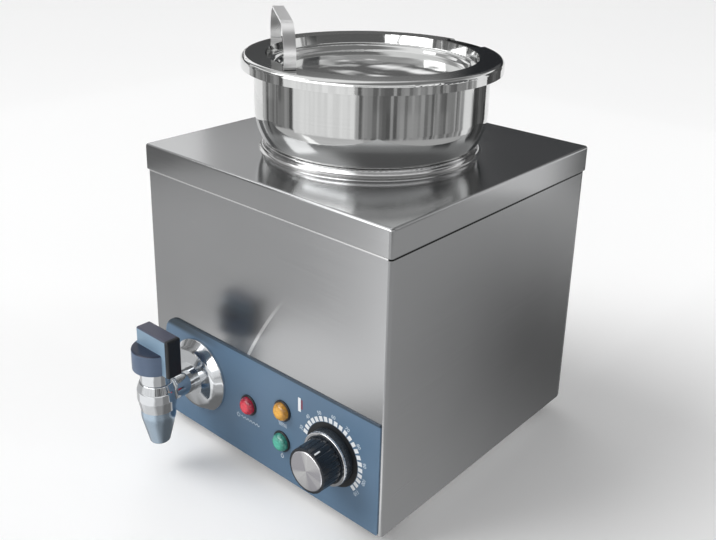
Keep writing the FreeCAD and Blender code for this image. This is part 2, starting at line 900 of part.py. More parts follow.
def make_heating_element():
    level = size.tank_floor.number + size.tank_wall.number + size.element_lift.number
    low = size.tank_floor.number - size.element_tail.number
    ring = element_ring_radius.number
    half_gap = math.radians(size.element_gap_angle.number) / 2
    ends = [
        Vector(side * ring * math.sin(half_gap), ring * math.cos(half_gap), level) for side in (1, -1)
    ]
    legs = element_leg_spots()
    tops = [Vector(leg.x, leg.y, level) for leg in legs]
    feet = [Vector(leg.x, leg.y, low) for leg in legs]
    bend = size.element_bend.number
    edges = bent_wire([feet[0], tops[0], ends[0]], bend)
    edges.append(Part.Arc(ends[0], Vector(0, -ring, level), ends[1]).toShape())
    edges.extend(bent_wire([ends[1], tops[1], feet[1]], bend))
    return place(tube("heating_element", edges, size.element_radius.number))


def make_element_nuts():
    nut = new_body("ElementNut")
    shape = new_sketch(nut, "XY_Plane")
    hexagon(shape, size.element_nut_radius * 2)
    circle(shape, NOUGHT, NOUGHT, size.element_radius + size.thread_gap)
    pad(nut, shape, size.element_nut_height)
    across, back = element_legs()
    up = size.tank_floor - size.element_nut_height
    return copies("element_nuts", nut, [(across, back, up), (-across, back, up)])


# The pot: drawn in one piece, a narrow lower part that hangs in the water, a shoulder that
# rests on the collar, a wider belly above it and a turned rim.

def make_pot():
    body = new_body("pot")
    ledge_radius = neck_radius + size.shoulder_ledge
    belly_level = ledge_level + size.shoulder_rise
    shape = new_sketch(body, "XZ_Plane")
    outline(shape, [
        (NOUGHT, pot_floor),
        (neck_radius, pot_floor, size.pot_floor_radius),
        (neck_radius, ledge_level, size.ledge_radius),
        (ledge_radius, ledge_level, size.ledge_radius * 2),
        (belly_radius, belly_level, size.shoulder_radius),
        (belly_radius, pot_top),
        (NOUGHT, pot_top),
    ])
    revolve(body, shape)
    hollow(body, pot_top, size.pot_wall)
    wall = size.pot_wall
    rim_radius = belly_radius + size.pot_rim_width
    rim = new_sketch(body, "XZ_Plane")
    outline(rim, [
        (belly_radius - wall / 2, pot_top - wall),
        (rim_radius - wall, pot_top - wall),
        (rim_radius - wall, pot_top - size.pot_rim_drop),
        (rim_radius, pot_top - size.pot_rim_drop),
        (rim_radius, pot_top, wall * 1.5),
        (belly_radius - wall / 2, pot_top),
    ])
    revolve(body, rim)
    return place(body)


# The lid: a pressed disc with a turned-down rim, a recess with one step in its wall, and a
# notch at the back for the ladle.

def make_lid():
    body = new_body("lid")
    wall = size.lid_wall
    step_level = lid_top - size.recess_depth
    floor_level = step_level - size.floor_drop
    step_outer = recess_radius - size.recess_taper
    step_inner = step_outer - size.step_width
    floor_radius = step_inner - size.floor_taper
    dish = new_sketch(body, "XZ_Plane")
    outline(dish, [
        (NOUGHT, floor_level),
        (floor_radius, floor_level, size.recess_edge * 2),
        (step_inner, step_level, size.recess_edge),
        (step_outer, step_level, size.recess_edge),
        (recess_radius, lid_top),
        (NOUGHT, lid_top),
    ])
    revolve(body, dish)
    hollow(body, lid_top, wall)
    rim = new_sketch(body, "XZ_Plane")
    outer = lid_rim_radius
    outline(rim, [
        (recess_radius - wall / 2, lid_top - wall),
        (outer - wall, lid_top - wall, size.lid_rim_edge - wall),
        (outer - wall, lid_top - size.lid_rim_drop),
        (outer, lid_top - size.lid_rim_drop),
        (outer, lid_top, size.lid_rim_edge),
        (recess_radius - wall / 2, lid_top),
    ])
    revolve(body, rim)
    notch = new_sketch(body, "XY_Plane", lid_top)
    notch.AttachmentOffset = Placement(
        Vector(0, 0, lid_top.number), Rotation(Vector(0, 0, 1), size.notch_angle.number)
    )
    notch.setExpression("AttachmentOffset.Rotation.Angle", size.notch_angle.formula)
    half_notch = size.notch_width / 2
    inner = recess_radius + size.notch_margin
    beyond = outer + size.cut_overrun
    outline(notch, [
        (inner, -half_notch, size.notch_corner),
        (beyond, -half_notch),
        (beyond, half_notch),
        (inner, half_notch, size.notch_corner),
    ])
    pocket(body, notch, size.lid_rim_drop + size.cut_overrun)
    return place(body)


# The lid's loop handle: a polished strap bent to a long arch, its two ends turned in as tabs
# that are spot-welded on the rim.

def make_lid_handle():
    body = new_body("lid_handle")
    thick = size.handle_thickness
    leg = handle_span / 2
    tab_end = leg - size.handle_tab
    rise = size.handle_rise
    crown = size.handle_crown_radius
    bend = size.handle_foot_bend
    strap = new_sketch(body, "XZ_Plane", size.handle_width / 2)
    outline(strap, [
        (-tab_end, NOUGHT),
        (-tab_end, thick),
        (-(leg - thick), thick, bend),
        (-(leg - thick), rise - thick, crown - thick),
        (leg - thick, rise - thick, crown - thick),
        (leg - thick, thick, bend),
        (tab_end, thick),
        (tab_end, NOUGHT),
        (leg, NOUGHT, bend + thick),
        (leg, rise, crown),
        (-leg, rise, crown),
        (-leg, NOUGHT, bend + thick),
    ])
    pad(body, strap, size.handle_width, reverse=True)
    angle = math.radians(size.handle_angle.number)
    across = handle_distance * math.cos(angle)
    back = handle_distance * math.sin(angle)
    turn = Rotation(Vector(0, 0, 1), size.handle_angle.number + 90)
    return place(body, across, back, lid_top, turn=turn)


# The control panel: a blue sheet bonded on the front of the box, from its foot to about a
# third of its height.

def make_control_panel():
    body = new_body("control_panel")
    sheet_outline = new_sketch(body, "XZ_Plane", half_depth)
    outline(sheet_outline, [
        (-size.panel_left, size.panel_foot, size.panel_corner),
        (size.panel_right, size.panel_foot, size.panel_corner),
        (size.panel_right, size.panel_height, size.panel_corner),
        (-size.panel_left, size.panel_height, size.panel_tap_corner),
    ])
    pad(body, sheet_outline, size.panel_thickness)
    front_holes(body, panel_face, size.panel_thickness + size.cut_overrun)
    return place(body)


# Signal lamps: a black housing clipped through the panel, and a clear coloured lens in it.

def make_lamp_housings():
    housing = new_body("LampHousing")
    through = size.panel_thickness + size.sheet_thickness
    shape = new_sketch(housing, "XZ_Plane")
    outline(shape, [
        (NOUGHT, -(through + size.lamp_barrel_length)),
        (size.lamp_barrel_radius, -(through + size.lamp_barrel_length)),
        (size.lamp_barrel_radius, NOUGHT),
        (size.lamp_bezel_radius, NOUGHT),
        (size.lamp_bezel_radius, size.lamp_bezel_rise, size.lamp_bezel_rise / 2),
        (size.lamp_lens_radius + size.thread_gap, size.lamp_bezel_rise),
        (size.lamp_lens_radius + size.thread_gap, size.lamp_bezel_rise / 2),
        (NOUGHT, size.lamp_bezel_rise / 2),
    ])
    revolve(housing, shape)
    spots = [(across, -panel_face, up) for across, up in lamp_spots()]
    return copies("lamp_housings", housing, spots, turn=TO_FRONT)


def make_lamp_lens(colour, across, up):
    body = new_body(f"{colour}_lamp_lens")
    low = size.lamp_bezel_rise / 2
    lens = new_sketch(body, "XZ_Plane")
    outline(lens, [
        (NOUGHT, low),
        (size.lamp_lens_radius, low),
        (size.lamp_lens_radius, low + size.lamp_lens_rise, size.lamp_lens_edge),
        (NOUGHT, low + size.lamp_lens_rise),
    ])
    revolve(body, lens)
    return place(body, across, -panel_face, up, turn=TO_FRONT)


# The thermostat: a round can behind the front, its threaded bush in the panel's hole and its
# shaft out to the knob. Its own +Z points out of the front, from the panel's face.

def make_thermostat_body():
    body = new_body("thermostat_body")
    seat = -(size.panel_thickness + size.sheet_thickness)
    bore = size.shaft_radius + size.running_gap
    low = seat - size.thermostat_depth
    sunk = -(size.shaft_sunk + size.fit_gap)
    can = new_sketch(body, "XZ_Plane")
    outline(can, [
        (NOUGHT, low),
        (size.thermostat_radius, low, size.thermostat_edge),
        (size.thermostat_radius, seat, size.thermostat_edge / 2),
        (size.bush_radius, seat),
        (size.bush_radius, NOUGHT),
        (bore, NOUGHT),
        (bore, sunk),
        (NOUGHT, sunk),
    ])
    revolve(body, can)
    return place(body, size.dial_across, -panel_face, size.dial_up, turn=TO_FRONT)


def make_thermostat_shaft():
    body = new_body("thermostat_shaft")
    low = -size.shaft_sunk
    rod = new_sketch(body, "XY_Plane", low)
    circle(rod, NOUGHT, NOUGHT, size.shaft_radius)
    pad(body, rod, size.shaft_sunk + size.shaft_reach)
    return place(body, size.dial_across, -panel_face, size.dial_up, turn=TO_FRONT)


# The knob: a moulded skirt with a bright trim ring on its edge, a fluted grip on the shaft and
# a spun aluminium cap on its face.

def make_knob_skirt():
    body = new_body("knob_skirt")
    low = size.skirt_gap
    high = low + size.skirt_height
    disc = new_sketch(body, "XZ_Plane")
    step = size.skirt_radius - size.trim_width - size.thread_gap
    outline(disc, [
        (size.shaft_radius + size.thread_gap, low),
        (size.skirt_radius, low),
        (size.skirt_radius, high - size.trim_height),
        (step, high - size.trim_height),
        (step, high),
        (size.shaft_radius + size.thread_gap, high),
    ])
    revolve(body, disc)
    return place(body, size.dial_across, -panel_face, size.dial_up, turn=TO_FRONT)


def make_knob_trim_ring():
    body = new_body("knob_trim_ring")
    high = size.skirt_gap + size.skirt_height
    ring = new_sketch(body, "XZ_Plane")
    outline(ring, [
        (size.skirt_radius - size.trim_width, high - size.trim_height),
        (size.skirt_radius, high - size.trim_height),
        (size.skirt_radius, high, size.trim_height / 2),
        (size.skirt_radius - size.trim_width, high),
    ])
    revolve(body, ring)
    return place(body, size.dial_across, -panel_face, size.dial_up, turn=TO_FRONT)


def make_thermostat_knob():
    body = new_body("thermostat_knob")
    low = size.skirt_gap + size.skirt_height
    high = low + size.knob_height
    grip = new_sketch(body, "XZ_Plane")
    outline(grip, [
        (NOUGHT, size.shaft_reach),
        (size.shaft_radius + size.thread_gap, size.shaft_reach),
        (size.shaft_radius + size.thread_gap, low),
        (size.knob_radius, low),
        (size.knob_top_radius, high),
        (size.knob_cap_radius + size.thread_gap, high),
        (size.knob_cap_radius + size.thread_gap, high - size.knob_cap_height / 2),
        (NOUGHT, high - size.knob_cap_height / 2),
    ])
    revolve(body, grip)
    flute = new_sketch(body, "XY_Plane", high)
    circle(flute, size.knob_radius + size.flute_radius * 0.6, NOUGHT, size.flute_radius)
    groove = pocket(body, flute, size.knob_height)
    polar_pattern(body, groove, FLUTE_COUNT)
    return place(body, size.dial_across, -panel_face, size.dial_up, turn=TO_FRONT)


def make_knob_cap():
    body = new_body("knob_cap")
    low = size.skirt_gap + size.skirt_height + size.knob_height - size.knob_cap_height / 2
    cap = new_sketch(body, "XZ_Plane")
    outline(cap, [
        (NOUGHT, low),
        (size.knob_cap_radius, low),
        (size.knob_cap_radius, low + size.knob_cap_height, size.knob_cap_edge),
        (NOUGHT, low + size.knob_cap_height),
    ])
    revolve(body, cap)
    return place(body, size.dial_across, -panel_face, size.dial_up, turn=TO_FRONT)


# The sensing bulb lies under the tank's floor in a clip, and a thin capillary tube joins it to
# the thermostat.

def make_thermostat_bulb():
    bulb = cylinder(
        size.bulb_radius,
        size.bulb_length,
        -size.bulb_length / 2,
        size.bulb_back,
        size.tank_floor - size.bulb_radius,
        turn=Rotation(Vector(0, 1, 0), 90),
    )
    end = document.addObject("Part::Fillet", "thermostat_bulb")
    end.Base = bulb
    document.recompute()
    round_radius = size.bulb_radius.number * 0.6
    names = [
        index for index, edge in enumerate(bulb.Shape.Edges, start=1)
        if isinstance(edge.Curve, Part.Circle)
    ]
    end.Edges = [(index, round_radius, round_radius) for index in names]
    end.Label = "thermostat_bulb"
    return place(end)


def make_bulb_clip():
    body = new_body("bulb_clip")
    top = size.tank_floor
    inner = size.bulb_radius + size.fit_gap
    outer = inner + size.clip_thickness
    low = size.bulb_radius * 2 + size.fit_gap
    strap = new_sketch(body, "YZ_Plane", -size.clip_length / 2)
    outline(strap, [
        (-(outer + size.clip_tab), top),
        (-(outer + size.clip_tab), top - size.clip_thickness),
        (-outer, top - size.clip_thickness),
        (-outer, top - low - size.clip_thickness, inner),
        (outer, top - low - size.clip_thickness, inner),
        (outer, top - size.clip_thickness),
        (outer + size.clip_tab, top - size.clip_thickness),
        (outer + size.clip_tab, top),
        (inner, top),
        (inner, top - low, inner * 0.8),
        (-inner, top - low, inner * 0.8),
        (-inner, top),
    ])
    pad(body, strap, size.clip_length)
    return place(body, NOUGHT, size.bulb_back, NOUGHT)


def make_capillary_tube():
    start = Vector(
        size.dial_across.number,
        -(half_depth - size.sheet_thickness - size.thermostat_depth).number,
        size.dial_up.number,
    )
    bulb_end = Vector(
        size.bulb_length.number / 2,
        size.bulb_back.number,
        (size.tank_floor - size.bulb_radius).number,
    )
    bend = size.capillary_bend.number
    low = bulb_end.z - bend
    points = [
        start,
        start + Vector(0, bend * 2, 0),
        Vector(start.x, start.y + bend * 2, low),
        Vector(bulb_end.x + bend * 4, bulb_end.y, low),
        bulb_end + Vector(bend * 2, 0, 0),
        bulb_end,
    ]
    bends = bent_wire(points, bend * 0.6)
    return place(tube("capillary_tube", bends, size.capillary_radius.number))


# The over-heat cut-out: a disc thermostat pressed against the tank's floor, with two spade
# terminals below it.

def make_overheat_cutout():
    body = new_body("overheat_cutout")
    shape = new_sketch(body, "XZ_Plane")
    outline(shape, [
        (NOUGHT, NOUGHT),
        (size.cutout_flange_radius, NOUGHT),
        (size.cutout_flange_radius, -size.cutout_flange_height),
        (size.cutout_radius, -size.cutout_flange_height),
        (size.cutout_radius, -size.cutout_height),
        (NOUGHT, -size.cutout_height),
    ])
    revolve(body, shape)
    half_spade = size.spade_width / 2
    half_thick = size.spade_thickness / 2
    spades = new_sketch(body, "XY_Plane", -size.cutout_height)
    for middle in (size.spade_spacing / 2, -size.spade_spacing / 2):
        rectangle(
            spades,
            (middle - half_thick, -half_spade),
            (middle + half_thick, half_spade),
        )
    pad(body, spades, size.spade_length, reverse=True)
    return place(body, size.cutout_across, size.cutout_back, size.tank_floor)


# The terminal block: a moulded bar on the base plate with a step on each side and a screw
# well over each pole.

def make_terminal_block():
    body = new_body("terminal_block")
    half_block = size.block_width / 2
    low_step = size.block_height - size.block_step
    section = new_sketch(body, "YZ_Plane", -size.block_length / 2)
    outline(section, [
        (-half_block, NOUGHT),
        (half_block, NOUGHT),
        (half_block, low_step),
        (half_block - size.block_step, low_step),
        (half_block - size.block_step, size.block_height),
        (-(half_block - size.block_step), size.block_height),
        (-(half_block - size.block_step), low_step),
        (-half_block, low_step),
    ])
    pad(body, section, size.block_length)
    wells = new_sketch(body, "XY_Plane", size.block_height)
    for pole in (-size.block_pole_pitch, NOUGHT, size.block_pole_pitch):
        circle(wells, pole, NOUGHT, size.block_pole_radius)
    pocket(body, wells, size.block_pole_depth)
    return place(
        body, size.block_across, half_depth - size.block_inset - half_block, size.sheet_thickness * 2
    )


# The cable gland at the back: a hexagon, a domed clamping cap, and a threaded tail with its
# nut inside the panel. Its own +Z points out of the back, from the panel's outer face.

def make_cable_gland():
    body = new_body("cable_gland")
    base = new_sketch(body, "XY_Plane")
    hexagon(base, size.gland_hex_flats)
    pad(body, base, size.gland_hex_height)
    top = size.gland_hex_height + size.gland_cap_height
    cap = new_sketch(body, "XZ_Plane")
    outline(cap, [
        (NOUGHT, size.gland_hex_height),
        (size.gland_cap_radius, size.gland_hex_height),
        (size.gland_cap_radius, top - size.gland_cap_edge * 2, size.gland_cap_edge),
        (size.gland_cap_top_radius, top),
        (NOUGHT, top),
    ])
    revolve(body, cap)
    tail = new_sketch(body, "XY_Plane")
    circle(tail, NOUGHT, NOUGHT, size.gland_thread_radius)
    pad(body, tail, size.gland_tail + size.sheet_thickness, reverse=True)
    bore = new_sketch(body, "XY_Plane", top)
    circle(bore, NOUGHT, NOUGHT, size.gland_bore_radius)
    pocket(body, bore, top + size.gland_tail + size.sheet_thickness)
    return place(body, size.gland_across, half_depth, size.gland_up, turn=TO_BACK)


def make_gland_nut():
    body = new_body("gland_nut")
    nut = new_sketch(body, "XY_Plane", -size.sheet_thickness)
    hexagon(nut, size.gland_hex_flats)
    circle(nut, NOUGHT, NOUGHT, size.gland_thread_radius + size.thread_gap)
    pad(body, nut, size.gland_nut_height, reverse=True)
    return place(body, size.gland_across, half_depth, size.gland_up, turn=TO_BACK)


# The drain: a spud welded on the tank's wall takes the tap's threaded shank, and a nut pulls
# the tap's rose against the panel over a rubber seal.

def make_drain_spud():
    outer_radius = size.shank_radius + size.thread_gap + size.spud_wall
    reach = half_depth - size.spud_inset
    outer = cylinder(outer_radius, reach, tap_across, NOUGHT, size.tap_up, turn=TO_FRONT)
    bore = cylinder(
        size.shank_radius + size.thread_gap,
        reach + size.cut_overrun,
        tap_across,
        NOUGHT,
        size.tap_up,
        turn=TO_FRONT,
    )
    tank = cylinder(tank_radius, size.casing_height)
    spud = cut(cut(outer, bore), tank, "drain_spud")
    spud.Label = "drain_spud"
    return place(spud)


def make_tap_lock_nut():
    body = new_body("tap_lock_nut")
    low = size.panel_thickness + size.sheet_thickness + size.seal_thickness
    nut = new_sketch(body, "XY_Plane", -low)
    hexagon(nut, size.lock_nut_flats)
    circle(nut, NOUGHT, NOUGHT, size.shank_radius + size.thread_gap)
    pad(body, nut, size.lock_nut_height, reverse=True)
    return place(body, tap_across, -panel_face, size.tap_up, turn=TO_FRONT)


def make_tap_seal():
    body = new_body("tap_seal")
    low = size.panel_thickness + size.sheet_thickness
    ring = new_sketch(body, "XY_Plane", -low)
    circle(ring, NOUGHT, NOUGHT, size.shank_radius + size.seal_width)
    circle(ring, NOUGHT, NOUGHT, size.shank_radius + size.thread_gap)
    pad(body, ring, size.seal_thickness, reverse=True)
    return place(body, tap_across, -panel_face, size.tap_up, turn=TO_FRONT)


def make_tap_escutcheon():
    body = new_body("tap_escutcheon")
    rose = new_sketch(body, "XZ_Plane")
    bore = size.shank_radius + size.thread_gap
    outline(rose, [
        (bore, NOUGHT),
        (size.rose_radius, NOUGHT),
        (size.rose_radius, size.rose_edge, size.rose_edge / 2),
        (size.rose_dome_radius, size.rose_dome_height, size.rose_dome_height),
        (size.rose_hub_radius, size.rose_height, size.rose_edge),
        (bore, size.rose_height),
    ])
    revolve(body, rose)
    return place(body, tap_across, -panel_face, size.tap_up, turn=TO_FRONT)


# The tap itself: a cast body on its shank, a screwed spout below it, a bonnet above it, a
# stem that turns in the bonnet, and a moulded lever handle on the stem. Its own origin is
# where the shank's line meets the stem's line.

def make_tap_body():
    body = new_body("tap_body")
    cast = new_sketch(body, "XZ_Plane")
    outline(cast, [
        (NOUGHT, -size.body_drop),
        (size.body_foot_radius, -size.body_drop),
        (size.body_radius, NOUGHT, size.body_radius / 3),
        (size.body_radius, size.body_belt, size.body_radius / 3),
        (size.body_neck_radius, size.body_rise, size.bonnet_edge),
        (NOUGHT, size.body_rise),
    ])
    revolve(body, cast)
    inner_end = panel_face - half_depth + size.spud_inset + size.shank_engagement
    shank_length = size.tap_reach + inner_end
    shank = new_sketch(body, "XZ_Plane")
    circle(shank, NOUGHT, NOUGHT, size.shank_radius)
    pad(body, shank, shank_length, reverse=True)
    inlet = new_sketch(body, "XZ_Plane")
    circle(inlet, NOUGHT, NOUGHT, size.shank_bore_radius)
    pocket(body, inlet, shank_length)
    outlet = new_sketch(body, "XY_Plane")
    circle(outlet, NOUGHT, NOUGHT, size.outlet_radius)
    pocket(body, outlet, size.body_drop + size.cut_overrun)
    chamber = new_sketch(body, "XY_Plane", size.body_rise)
    circle(chamber, NOUGHT, NOUGHT, size.chamber_radius)
    pocket(body, chamber, size.body_rise)
    return place(body, tap_across, -tap_axis, size.tap_up)


def make_tap_spout():
    body = new_body("tap_spout")
    top = -size.body_drop
    spout = new_sketch(body, "XZ_Plane")
    outline(spout, [
        (size.outlet_radius, top),
        (size.spout_radius, top),
        (size.spout_radius, top - size.spout_shoulder, size.spout_round),
        (size.spout_tip_radius, top - size.spout_length, size.spout_tip_round / 2),
        (size.outlet_radius, top - size.spout_length),
    ])
    revolve(body, spout)
    return place(body, tap_across, -tap_axis, size.tap_up)


def make_tap_bonnet():
    body = new_body("tap_bonnet")
    low = size.body_rise
    high = low + size.bonnet_height
    bore = size.stem_radius + size.running_gap
    bonnet = new_sketch(body, "XZ_Plane")
    outline(bonnet, [
        (bore, low),
        (size.bonnet_radius, low),
        (size.bonnet_radius, high, size.bonnet_edge),
        (bore, high),
    ])
    revolve(body, bonnet)
    return place(body, tap_across, -tap_axis, size.tap_up)


def handle_foot():
    return size.body_rise + size.bonnet_height + size.fit_gap


def make_tap_stem():
    body = new_body("tap_stem")
    low = size.body_rise - size.fit_gap
    head_low = low - size.stem_head_height
    high = handle_foot() + size.stem_grip
    stem = new_sketch(body, "XZ_Plane")
    outline(stem, [
        (NOUGHT, head_low),
        (size.stem_head_radius, head_low),
        (size.stem_head_radius, low),
        (size.stem_radius, low),
        (size.stem_radius, high),
        (NOUGHT, high),
    ])
    revolve(body, stem)
    return place(body, tap_across, -tap_axis, size.tap_up)


def make_tap_handle():
    body = new_body("tap_handle")
    foot = handle_foot()
    hub = new_sketch(body, "XY_Plane", foot)
    circle(hub, NOUGHT, NOUGHT, size.hub_radius)
    pad(body, hub, size.hub_height)
    fillet_level(body, foot + size.hub_height, size.hub_edge)
    half_lever = size.lever_width / 2
    lever = new_sketch(body, "XY_Plane", foot)
    rectangle(
        lever, (-size.lever_short, -half_lever), (size.lever_long, half_lever), size.lever_corner
    )
    pad(body, lever, size.lever_height)
    fillet_level(body, foot + size.lever_height, size.lever_crown)
    socket = new_sketch(body, "XY_Plane", foot)
    circle(socket, NOUGHT, NOUGHT, size.stem_radius + size.thread_gap)
    pocket(body, socket, size.stem_grip, reverse=True)
    return place(body, tap_across, -tap_axis, size.tap_up)


pieces = [
    make_outer_casing(),
    make_rear_panel(),
    make_base_plate(),
    make_feet(),
    make_foot_screws(),
    make_rear_screws(),
    make_top_cover(),
    make_collar_ring(),
    make_water_tank(),
    make_heating_element(),
    make_element_nuts(),
    make_pot(),
    make_lid(),
    make_lid_handle(),
    make_control_panel(),
    make_lamp_housings(),
    make_lamp_lens("red", size.red_lamp_across, size.red_lamp_up),
    make_lamp_lens("orange", size.orange_lamp_across, size.orange_lamp_up),
    make_lamp_lens("green", size.green_lamp_across, size.green_lamp_up),
    make_thermostat_body(),
    make_thermostat_shaft(),
    make_knob_skirt(),
    make_knob_trim_ring(),
    make_thermostat_knob(),
    make_knob_cap(),
    make_thermostat_bulb(),
    make_bulb_clip(),
    make_capillary_tube(),
    make_overheat_cutout(),
    make_terminal_block(),
    make_cable_gland(),
    make_gland_nut(),
    make_drain_spud(),
    make_tap_lock_nut(),
    make_tap_seal(),
    make_tap_escutcheon(),
    make_tap_body(),
    make_tap_spout(),
    make_tap_bonnet(),
    make_tap_stem(),
    make_tap_handle(),
]
document.recompute()

for item in document.Objects:
    if "Invalid" in item.State or "Error" in item.State:
        raise ValueError(f"{item.Label} is in state {item.State}")
for piece in pieces:
    if piece.Shape.isNull() or not piece.Shape.isValid():
        raise ValueError(f"{piece.Label} has no valid shape")

os.makedirs("parts", exist_ok=True)
for piece in pieces:
    piece.Shape.exportStep(f"parts/{piece.Label}.step")
    box = piece.Shape.BoundBox
    lengths = f"{box.XLength:.1f} x {box.YLength:.1f} x {box.ZLength:.1f}"
    print(f"{piece.Label}: {len(piece.Shape.Solids)} solid, {lengths}")
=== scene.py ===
import math
import random

import bmesh
import bpy
from mathutils import Matrix, Vector


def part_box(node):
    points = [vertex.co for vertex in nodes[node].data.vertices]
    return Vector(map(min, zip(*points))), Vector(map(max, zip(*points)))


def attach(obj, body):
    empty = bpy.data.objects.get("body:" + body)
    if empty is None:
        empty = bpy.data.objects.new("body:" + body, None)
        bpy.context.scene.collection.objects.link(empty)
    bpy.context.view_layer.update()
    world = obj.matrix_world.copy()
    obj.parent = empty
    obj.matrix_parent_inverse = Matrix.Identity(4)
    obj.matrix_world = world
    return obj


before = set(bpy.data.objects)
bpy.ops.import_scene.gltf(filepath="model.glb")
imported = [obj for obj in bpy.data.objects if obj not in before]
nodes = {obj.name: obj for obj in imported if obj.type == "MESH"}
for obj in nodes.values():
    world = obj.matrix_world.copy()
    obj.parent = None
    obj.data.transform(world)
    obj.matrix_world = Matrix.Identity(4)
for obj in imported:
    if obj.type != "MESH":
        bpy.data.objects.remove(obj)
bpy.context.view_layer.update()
scene = bpy.context.scene

# ---------------------------------------------------------------------------------------------
# The view: a normal lens a little above the lid, before the box's front right corner. The lens's
# shift stands for the crop of the picture, which is 716 by 540.

view_turn = math.radians(40.68)
view_rise = math.radians(19.27)
view_roll = math.radians(1.50)
view_distance = 0.7467
view_target = Vector((0.0, 0.02365, 0.013))
aim_step = -0.00338
aim_height = 0.21034
lens_pixels = 892.5
picture_width = 716
picture_height = 540
picture_middle = (365.2, 180.0)

toward_camera = Vector((
    math.sin(view_turn) * math.cos(view_rise),
    -math.cos(view_turn) * math.cos(view_rise),
    math.sin(view_rise),
))
level_right = Vector((math.cos(view_turn), math.sin(view_turn), 0.0))
level_up = toward_camera.cross(level_right)
camera_right = level_right * math.cos(view_roll) + level_up * math.sin(view_roll)
camera_up = level_up * math.cos(view_roll) - level_right * math.sin(view_roll)
view_centre = view_target + camera_right * aim_step + Vector((0.0, 0.0, aim_height))

camera_data = bpy.data.cameras.new("camera")
camera_data.sensor_width = 36.0
camera_data.lens = lens_pixels / picture_width * camera_data.sensor_width
camera_data.shift_x = (picture_width / 2 - picture_middle[0]) / picture_width
camera_data.shift_y = (picture_middle[1] - picture_height / 2) / picture_width
camera_data.clip_start = 0.05
camera = bpy.data.objects.new("camera", camera_data)
turn = Matrix((camera_right, camera_up, toward_camera)).transposed().to_4x4()
camera.matrix_world = Matrix.Translation(view_centre + toward_camera * view_distance) @ turn
scene.collection.objects.link(camera)
scene.camera = camera
scene.view_settings.view_transform = "Standard"


# ---------------------------------------------------------------------------------------------
# The studio: a pale floor, a room that is bright all round and greyer overhead, dark gaps
# between its white walls that the polished steel shows as streaks, a wide sun, two soft boxes,
# and boards and a card that only the metal sees.

class Wire:
    """The output of a node, on which plain arithmetic adds Math nodes."""

    def __init__(self, graph, socket):
        self.graph = graph
        self.socket = socket

    def reckon(self, operation, first, second):
        """One Math node on two wires or numbers."""
        pair = {"Value": first, "Value_001": second}
        return self.graph.add("ShaderNodeMath", {"operation": operation}, pair)["Value"]

    def __add__(self, other):
        return self.reckon("ADD", self, other)

    def __sub__(self, other):
        return self.reckon("SUBTRACT", self, other)

    def __rsub__(self, other):
        return self.reckon("SUBTRACT", other, self)

    def __mul__(self, other):
        return self.reckon("MULTIPLY", self, other)

    def __truediv__(self, other):
        return self.reckon("DIVIDE", self, other)

    def __pow__(self, other):
        return self.reckon("POWER", self, other)

    def bearing_from(self, up):
        """The angle of a place, clockwise from the way up."""
        return self.reckon("ARCTAN2", self, up)

    def wave(self, operation):
        """The sine or the cosine of an angle."""
        return self.graph.add("ShaderNodeMath", {"operation": operation}, {"Value": self})["Value"]

    __radd__ = __add__
    __rmul__ = __mul__


